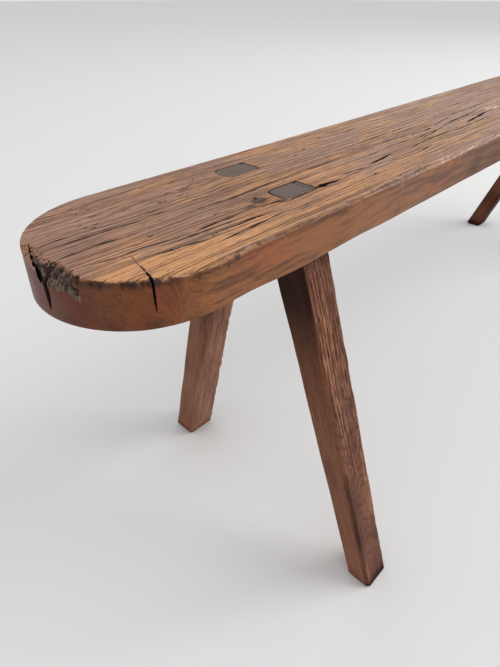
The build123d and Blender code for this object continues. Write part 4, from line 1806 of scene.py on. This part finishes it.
def mortise_rows(name):
    """The hole for one tenon and its wedge, along the leg's own lean, with room round the tenon. Its two
    corners away from the wedge are round, as the tenon's are."""
    leg, wedge = "leg_" + name, "wedge_" + name
    body = leg_body(leg)
    top_middle, tenon = level_of(leg, tenon_top(leg))
    side = wedge_side(leg)
    turns = np.linspace(0, math.pi / 2, 7)
    in_from_side = side * (TENON_ROUND + MORTISE_GAP) * (1 - np.sin(turns))
    in_from_end = (TENON_ROUND + MORTISE_GAP) * (1 - np.cos(turns))
    rows = []
    for height in (UNDERSIDE - CUT_BEYOND, TOP + CUT_BEYOND):
        middle = top_middle + between(body, height)[0] - between(body, tenon_top(leg))[0]
        low, high = middle - tenon - MORTISE_GAP, middle + tenon + MORTISE_GAP
        wedge_middle, wedge_half = between(wedge_levels(wedge), height)
        low[0] = min(low[0], wedge_middle[0] - wedge_half[0])
        high[0] = max(high[0], wedge_middle[0] + wedge_half[0])
        away, toward = (low[0], high[0]) if side > 0 else (high[0], low[0])
        upper = np.column_stack([away + in_from_side, high[1] - in_from_end])
        lower = np.column_stack([away + in_from_side, low[1] + in_from_end])
        corners = [(toward, low[1]), (toward, high[1]), *upper, *lower[::-1]]
        rows.append(flat_row(np.array(corners), height))
    return rows


def weather_sizes(depths, rings):
    """What the weathering is given: its depths, with the rings under its own names."""
    return {**depths, **{name.lower(): value for name, value in rings.items()}}


def plank_cutters():
    """The shapes that are cut out of the plank, in batches. Furrows that meet lie in different ones."""
    furrows = [furrow_rows(line, 1.7 * number) for number, line in enumerate(LONG_FURROWS)]
    flecks = []
    for number, fleck in enumerate(FLECKS):
        width = FLECK_WIDTH_SHARE * LONG_FURROW_WIDTH
        flecks.append(furrow_rows(fleck_line(*fleck), 60 + number, width, FLECK_STEP))
    batches = [[mortise_rows(name) for name in LEG_NAMES], [split_rows(*split) for split in SPLITS]]
    batches += [furrows[start::5] for start in range(5)]
    batches += [flecks, [hole_rows(*hole) for hole in HOLES]]
    return batches + [[crack_rows(CORNER_CRACK)], [crack_rows(EDGE_SPLIT)], [end_check_rows()]]


def make_plank(weathering, oak_face, dirt):
    """The plank: its worn outline, weathered, then cut, with its mortises, and finished."""
    plank = new_piece("plank", shell("plank", plank_rows(), filled=True))
    mark_plank(plank.data)
    weathered(plank, weathering, oak_face, weather_sizes(PLANK_WEATHER, PLANK_RINGS))
    nicks = [nick_rows(*nick) for nick in NICKS]
    cut(plank, plank_cutters(), dirt, [nicks[::2], nicks[1::2]])
    mark_plank(plank.data)
    finish_mesh(plank.data)
    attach(plank, "root")
    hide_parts("seat_plank")


def break_patch(first, last, reach):
    """The broken face as an open patch for its fibres, between two shares of the way down it and as far
    across the plank as reach."""
    edge, inward = plank_columns()[1:]
    here = (edge[:, 0] < TIP + PATCH_DEPTH) & (edge[:, 1] > PATCH_FRONT) & (edge[:, 1] < reach)
    edge, inward = edge[here], inward[here]
    set_in, fall, inside = broken_face(edge)
    rows = []
    for share in np.linspace(first, last, PATCH_ROWS):
        inset = set_in * (1 - share) + pitted(edge, share, inside) + PATCH_OUT
        rows.append(flat_row(edge + inward * inset[:, None], TOP - fall * share - PATCH_DOWN))
    count = len(edge)
    faces = []
    for row in range(len(rows) - 1):
        for column in range(count - 1):
            start = row * count + column
            faces.append((start, start + count, start + count + 1, start + 1))
    mesh = bpy.data.meshes.new("patch")
    mesh.from_pydata(np.concatenate(rows).tolist(), [], faces)
    return mesh


def make_fibres(name, tree, material, shares, sizes):
    """A piece of fibres over a part of the broken face, which break_patch gives by its shares."""
    fibres = new_piece(name, break_patch(*shares))
    weathered(fibres, tree, material, {**sizes, "end": TIP})
    points = points_of(fibres.data)
    store(fibres.data, "grain", "FLOAT_VECTOR", points[:, [2, 1, 0]])
    fibres.data.shade_smooth()
    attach(fibres, "root")


def finish_mesh(mesh):
    """Shades the mesh smooth but for its sharp edges."""
    mesh.shade_smooth()
    mesh.set_sharp_from_angle(angle=SHARP_ANGLE)


# Legs and wedges


def ring(half, cells, arris, rounded=False):
    """Points round a rectangle, with its four corners planed off, or rounded, as far as the arris says:
    one value for each, from the corner at -X -Y and on round."""
    across = np.linspace(-1, 1, cells[0] + 1)
    along = np.linspace(-1, 1, cells[1] + 1)
    sides = [
        [(u, -1) for u in across[:-1]],
        [(1, v) for v in along[:-1]],
        [(u, 1) for u in across[:0:-1]],
        [(-1, v) for v in along[:0:-1]],
    ]
    points = np.array(sum(sides, [])) * half
    corner = np.where(points[:, 1] < 0, (points[:, 0] > 0) * 1, 2 + (points[:, 0] < 0))
    planed = np.asarray(arris)[corner]
    if rounded:
        inner = np.clip(np.abs(points) - half + planed[:, None], 0, None)
        reach = np.maximum(np.linalg.norm(inner, axis=1), planed)
        return points - np.sign(points) * inner * (1 - planed / reach)[:, None]
    over = np.abs(points).sum(1) - (half.sum() - planed)
    return points - np.sign(points) * (np.clip(over, 0, None) / 2)[:, None]


def caps(outline, middle, height, steps, crown):
    """Rows from the middle of a flat end out to its edge, with the middle standing proud."""
    rows = []
    for share in np.linspace(0, 1, steps, endpoint=False):
        rows.append(flat_row(middle + share * (outline - middle), height + crown * (1 - share**2)))
    return rows


def bar_rows(levels, cells):
    """Rows of a bar from its top to its bottom: each level is (height, middle, half, arris)."""
    rows = []
    for height, middle, half, arris in levels:
        outline = ring(half, cells, arris, rounded=height > UNDERSIDE + SAME_HEIGHT)
        rows.append(flat_row(middle + outline, height))
    top_height, top_middle = levels[0][:2]
    low_height, low_middle = levels[-1][:2]
    first = caps(rows[0][:, :2], top_middle, top_height, CAP_ROWS, TENON_CROWN)
    last = caps(rows[-1][:, :2], low_middle, low_height, CAP_ROWS, 0.0)
    return first + rows + last[::-1]


def leg_levels(node, arris_at):
    """The sections of a leg: its tenon, the step of its shoulder, its long body and its foot."""
    body = leg_body(node)
    top = tenon_top(node)
    top_middle, tenon = level_of(node, top)
    shift = top_middle - between(body, top)[0]
    left, right = (TENON_ROUND, TENON_CORNER)[:: wedge_side(node)]
    levels = []
    for share in np.linspace(0, 1, TENON_LEVELS):
        height = top + share * (UNDERSIDE - top)
        sunk = TENON_EDGE * max(0, 1 - share * 6)
        rise = TENON_RISE * (share == 0)
        middle = between(body, height)[0] + shift
        levels.append((height + rise, middle, tenon - sunk, [left, right, right, left]))
    heights = np.linspace(UNDERSIDE, FOOT_BEVEL, round((UNDERSIDE - FOOT_BEVEL) / LEG_LEVEL_STEP))
    for height in heights:
        levels.append((height, *between(body, height), arris_at(height)))
    sole_middle, sole = level_of(node, 0.0)
    foot_middle = between(body, FOOT_BEVEL / 2)[0]
    levels.append((FOOT_BEVEL / 2, foot_middle, (sole + body[0][2]) / 2, arris_at(0)))
    levels.append((0.0, sole_middle, sole, arris_at(0)))
    return levels


def leg_frame(node):
    """The leg's own directions as rows, along it and out of two of its faces, and the middle of its foot."""
    body = leg_body(node)
    low, high = [np.append(middle, height) for height, middle, _ in body]
    length = (high - low) / np.linalg.norm(high - low)
    across = np.array([1.0, 0.0, 0.0]) - length[0] * length
    across /= np.linalg.norm(across)
    return np.array([length, across, np.cross(length, across)]), low


class LegSurface:
    """What the finish of a leg depends on, at each point of its mesh."""

    def __init__(self, mesh, node, name):
        points, normals = points_of(mesh), normals_of(mesh)
        directions, low = leg_frame(node)
        facing = normals @ directions[1:].T
        self.number = LEG_NAMES.index(name)
        self.look = LEG_LOOKS[name]
        self.place = (points - low) @ directions.T
        self.height = points[:, 2]
        self.below = self.height < TENON_END
        self.left, self.front = smooth_step(-facing, *FACES_SIDE).T
        self.end = smooth_step(np.abs(normals @ directions[0]), *FACES_END)
        self.rub = np.clip(1.9 * np.abs(facing).prod(1), 0, 1)
        half = between(leg_body(node), self.height[:, None])[1]
        self.from_ridge = np.abs(self.place[:, 1:] + half).sum(1)
        self.band = hump(self.from_ridge, 0, RIDGE_BAND) * smooth_step(self.height, *RIDGE_FROM)

    def drift(self, pattern):
        """One of the drifting patterns, with each leg's own seed."""
        pitch, seed = pattern
        return drifting(drawn_out(self.place, 2), pitch, seed + self.number)


def leg_grain(leg):
    """The grain at each point: along the leg, out from the tree's heart, and through the leg."""
    pitch, seed = LEG_GRAIN_DRIFT
    sway = drifting(drawn_out(leg.place, 2) + 3 * leg.number, pitch, seed + leg.number)
    across = leg.place[:, 1] + LEG_SWAY * sway
    from_heart = np.hypot(across - LEG_HEART[0], leg.place[:, 2] - LEG_HEART[1])
    along = leg.place[:, 0] + leg.number * 1.7
    return np.column_stack([along, from_heart, leg.place[:, 2] + 0.31 * leg.number])


def leg_relief(leg):
    """How open the furrows are: most towards the seat, and along the ridge of a leg that is worn smooth."""
    smooth = leg.look.smooth
    rough = smooth_step(leg.height, *ROUGH_FROM) * (1 - 0.97 * leg.left) * (1 - 0.85 * smooth)
    relief = 0.12 - 0.08 * leg.left + 0.88 * np.maximum(rough, 0.9 * smooth * leg.band)
    return relief * (1 - leg.end)


def leg_ripples(leg):
    """Where the plane has left its ripples: on the front of a leg that isn't worn smooth."""
    planed = fade_out(leg.height, *RIPPLED_TO) * smooth_step(leg.height, *RIPPLED_FROM)
    return leg.front * (1 - leg.look.smooth) * planed


def leg_shade(leg):
    """How much darker than the oak itself each point is, or paler where it is below 0, with painted shade
    under the seat and along the planed facet.
    """
    look, height, left, front, band = leg.look, leg.height, leg.left, leg.front, leg.band
    rough = 1 - look.smooth
    shaded_facet = left * hump(leg.from_ridge, *SHADED_FACET) * fade_out(height, *SHADED_FACET_TO)
    shade = look.dark_top * left * smooth_step(height, *DARK_LEFT_FROM) + 0.45 * look.smooth * band
    # The dark line along the planed facet is painted shade
    shade = np.maximum(shade, 0.32 * shaded_facet * rough)
    shade = np.maximum(shade, 0.70 * smooth_step(height, UNDERSIDE - SEAT_SHADOW, UNDERSIDE) * leg.below)
    shade = np.maximum(shade, 0.75 * fade_out(height, *FOOT_DIRT_TO)) + look.dark * (height < UNDERSIDE)
    shade = shade - look.pale * front * (1 - band) + 0.22 * leg.drift(LEG_PATCHES) * leg.below
    low_part = rough * fade_out(height, *LOW_PART_TO)
    shade = shade - 0.32 * front * rough * hump(height, *PALE_MIDDLE)
    shade = shade + (0.42 * front - 0.10 * left) * low_part
    shade = shade + 0.12 * front * rough * smooth_step(height, *DARK_FRONT_FROM) * (height < UNDERSIDE)
    return shade + look.dark_tenon * (height > TENON_END)


def mark_leg(mesh, node, name):
    """Stores on each point of a leg its grain, how open its furrows are and how it has worn, with painted
    shade under the seat and along the planed facet.
    """
    leg = LegSurface(mesh, node, name)
    relief = leg_relief(leg)
    warmth = 0.5 + 0.6 * leg.left + 0.25 * leg.drift(LEG_WARMTH_DRIFT)
    wax = 0.52 * np.maximum(leg.left, leg.look.smooth * (1 - leg.band)) * leg.below
    clean = np.zeros(len(relief))
    store(mesh, "grain", "FLOAT_VECTOR", leg_grain(leg))
    store(mesh, "relief", "FLOAT", relief)
    store(mesh, "carve", "FLOAT", relief)
    store(mesh, "rippled", "FLOAT", leg_ripples(leg))
    store(mesh, "wear_and_highlight", "FLOAT_COLOR", np.column_stack([clean, leg.rub, clean, leg.end]))
    store(mesh, "finish", "FLOAT_VECTOR", np.column_stack([warmth, wax, leg_shade(leg)]))


def corner_arris(name):
    """How much is planed off each corner of a leg at a height: it drifts, as with a drawknife, and the
    corner at the right of the front is nicked."""
    offset = Vector((0, 0, LEG_ARRIS_SEED + LEG_NAMES.index(name)))
    nicked = (PLAIN_CORNER, LEG_LOOKS[name].nicked, PLAIN_CORNER, PLAIN_CORNER)

    def arris_at(height):
        planed = []
        for corner in range(4):
            slow = noise.noise(Vector((height / LEG_ARRIS_DRIFT, corner * 3.3, 0)) + offset)
            fast = noise.noise(Vector((height / LEG_ARRIS_CHATTER, corner * 5.1, 9)) + offset)
            planed.append(LEG_ARRIS * (1 + 0.4 * slow + nicked[corner] * abs(fast)))
        return planed

    return arris_at


def make_leg(name, weathering, leg_oak, tenon_oak):
    """One leg with its tenon: shaped, weathered and finished, with end grain on top."""
    node = "leg_" + name
    levels = leg_levels(node, corner_arris(name))
    leg = new_piece("oak_" + node, shell(node, bar_rows(levels, LEG_CELLS)))
    mark_leg(leg.data, node, name)
    weathered(leg, weathering, leg_oak, weather_sizes(LEG_WEATHER, LEG_RINGS))
    mark_leg(leg.data, node, name)
    leg.data.materials.append(tenon_oak)
    for face in leg.data.polygons:
        if face.center.z > TENON_END:
            face.material_index = 1
    finish_mesh(leg.data)
    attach(leg, "root")
    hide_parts(node)


def make_wedge(name, wedge_oak):
    """The wedge beside one tenon, with end grain on top."""
    node = "wedge_" + name
    ends = wedge_levels(node)
    levels = []
    for share in np.linspace(0, 1, WEDGE_LEVELS):
        height = ends[1][0] + share * (ends[0][0] - ends[1][0])
        levels.append((height, *between(ends, height), [WEDGE_ARRIS] * 4))
    wedge = new_piece("oak_" + node, shell(node, bar_rows(levels, WEDGE_CELLS)))
    mesh = wedge.data
    points = points_of(mesh)
    across = points[:, 0] * 1.3 + LEG_NAMES.index(name)
    clean = np.zeros(len(points))
    end = smooth_step(np.abs(normals_of(mesh)[:, 2]), *FACES_END)
    store(mesh, "grain", "FLOAT_VECTOR", np.column_stack([points[:, 2], across, points[:, 1]]))
    store(mesh, "relief", "FLOAT", clean)
    store(mesh, "wear_and_highlight", "FLOAT_COLOR", np.column_stack([clean, clean, clean, end]))
    store(mesh, "finish", "FLOAT_VECTOR", np.column_stack([clean + 0.5, clean, clean]))
    mesh.materials.append(wedge_oak)
    finish_mesh(mesh)
    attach(wedge, "root")
    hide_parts(node)


# Floor, light and camera


def plain_material(name, colour):
    """A matt finish in one colour."""
    material = bpy.data.materials.new(name)
    material.use_nodes = True
    surface = material.node_tree.nodes["Principled BSDF"]
    surface.inputs["Base Color"].default_value = (*colour, 1)
    surface.inputs["Roughness"].default_value = 0.9
    surface.inputs["Specular IOR Level"].default_value = 0.1
    return material


def make_floor():
    """A wide round floor, which the feet stand on."""
    edit = bmesh.new()
    bmesh.ops.create_circle(edit, cap_ends=True, segments=FLOOR_SIDES, radius=FLOOR_RADIUS)
    mesh = bpy.data.meshes.new("floor")
    edit.to_mesh(mesh)
    edit.free()
    mesh.materials.append(plain_material("pale_floor", FLOOR_COLOUR))
    new_piece("floor", mesh)


def make_world():
    """An even light from all round, and a plain backdrop where the camera looks past the floor."""
    world = bpy.data.worlds.new("soft_room")
    bpy.context.scene.world = world
    world.use_nodes = True
    world.node_tree.nodes.clear()
    tree = Tree(world.node_tree)
    path = tree.add("ShaderNodeLightPath").outputs
    seen = tree.math("MAXIMUM", path["Is Camera Ray"], path["Is Glossy Ray"])
    seen = tree.math("MAXIMUM", seen, path["Is Transmission Ray"])
    colour = tree.mix(seen, (*AMBIENT, 1), (*BACKDROP, 1))
    background = tree.add("ShaderNodeBackground", {"Color": colour, "Strength": 1.0})
    tree.add("ShaderNodeOutputWorld", {0: background.outputs[0]})


def soft_light(name, place, size, power):
    """A square lamp that faces the middle of the bench."""
    lamp = bpy.data.lights.new(name, "AREA")
    lamp.size = size
    lamp.energy = power
    light = new_piece(name, lamp)
    light.location = place
    light.rotation_euler = (-Vector(place)).to_track_quat("-Z", "Y").to_euler()


def make_camera():
    """The camera, which stands where the photograph was taken from."""
    lens = bpy.data.cameras.new("camera")
    lens.lens = CAMERA_LENS
    lens.clip_start = CAMERA_NEAR
    camera = new_piece("camera", lens)
    camera.location = CAMERA_PLACE
    camera.rotation_euler = (math.pi / 2 - CAMERA_PITCH, 0, CAMERA_YAW - math.pi / 2)
    bpy.context.scene.camera = camera


def make_bench():
    """All pieces of the bench, in their finishes."""
    groups = figure_group(), age_group()
    weathering, fibres = weathering_tree(), fibre_tree()
    plank_face = oak("plank_oak_face", groups, PLANK_COLOURS, PLANK_RINGS, PLANK_BUMP)
    leg_face = oak("leg_oak_face", groups, LEG_COLOURS, LEG_RINGS, LEG_BUMP, LEG_SHINE)
    tenon_end = oak("tenon_end_grain", groups, TENON_COLOURS, END_RINGS, END_BUMP)
    wedge_end = oak("wedge_end_grain", groups, WEDGE_COLOURS, END_RINGS, END_BUMP)
    split = oak("split_oak", groups, SPLIT_COLOURS, END_RINGS, TORN_BUMP)
    torn = oak("torn_oak", groups, TORN_COLOURS, END_RINGS, TORN_BUMP)
    tufts = oak("pale_tufts", groups, TUFT_COLOURS, END_RINGS, TORN_BUMP)
    make_plank(weathering, plank_face, split)
    make_fibres("torn_fibres", fibres, torn, HANGING_PLACE, HANGING_FIBRES)
    make_fibres("crest_fibres", fibres, tufts, STANDING_PLACE, STANDING_FIBRES)
    for name in LEG_NAMES:
        make_leg(name, weathering, leg_face, tenon_end)
        make_wedge(name, wedge_end)


def main():
    """Builds the bench in its room."""
    bpy.context.scene.view_settings.view_transform = "Standard"
    make_bench()
    make_floor()
    make_world()
    soft_light("key_light", KEY_PLACE, KEY_SIZE, KEY_POWER)
    make_camera()


main()
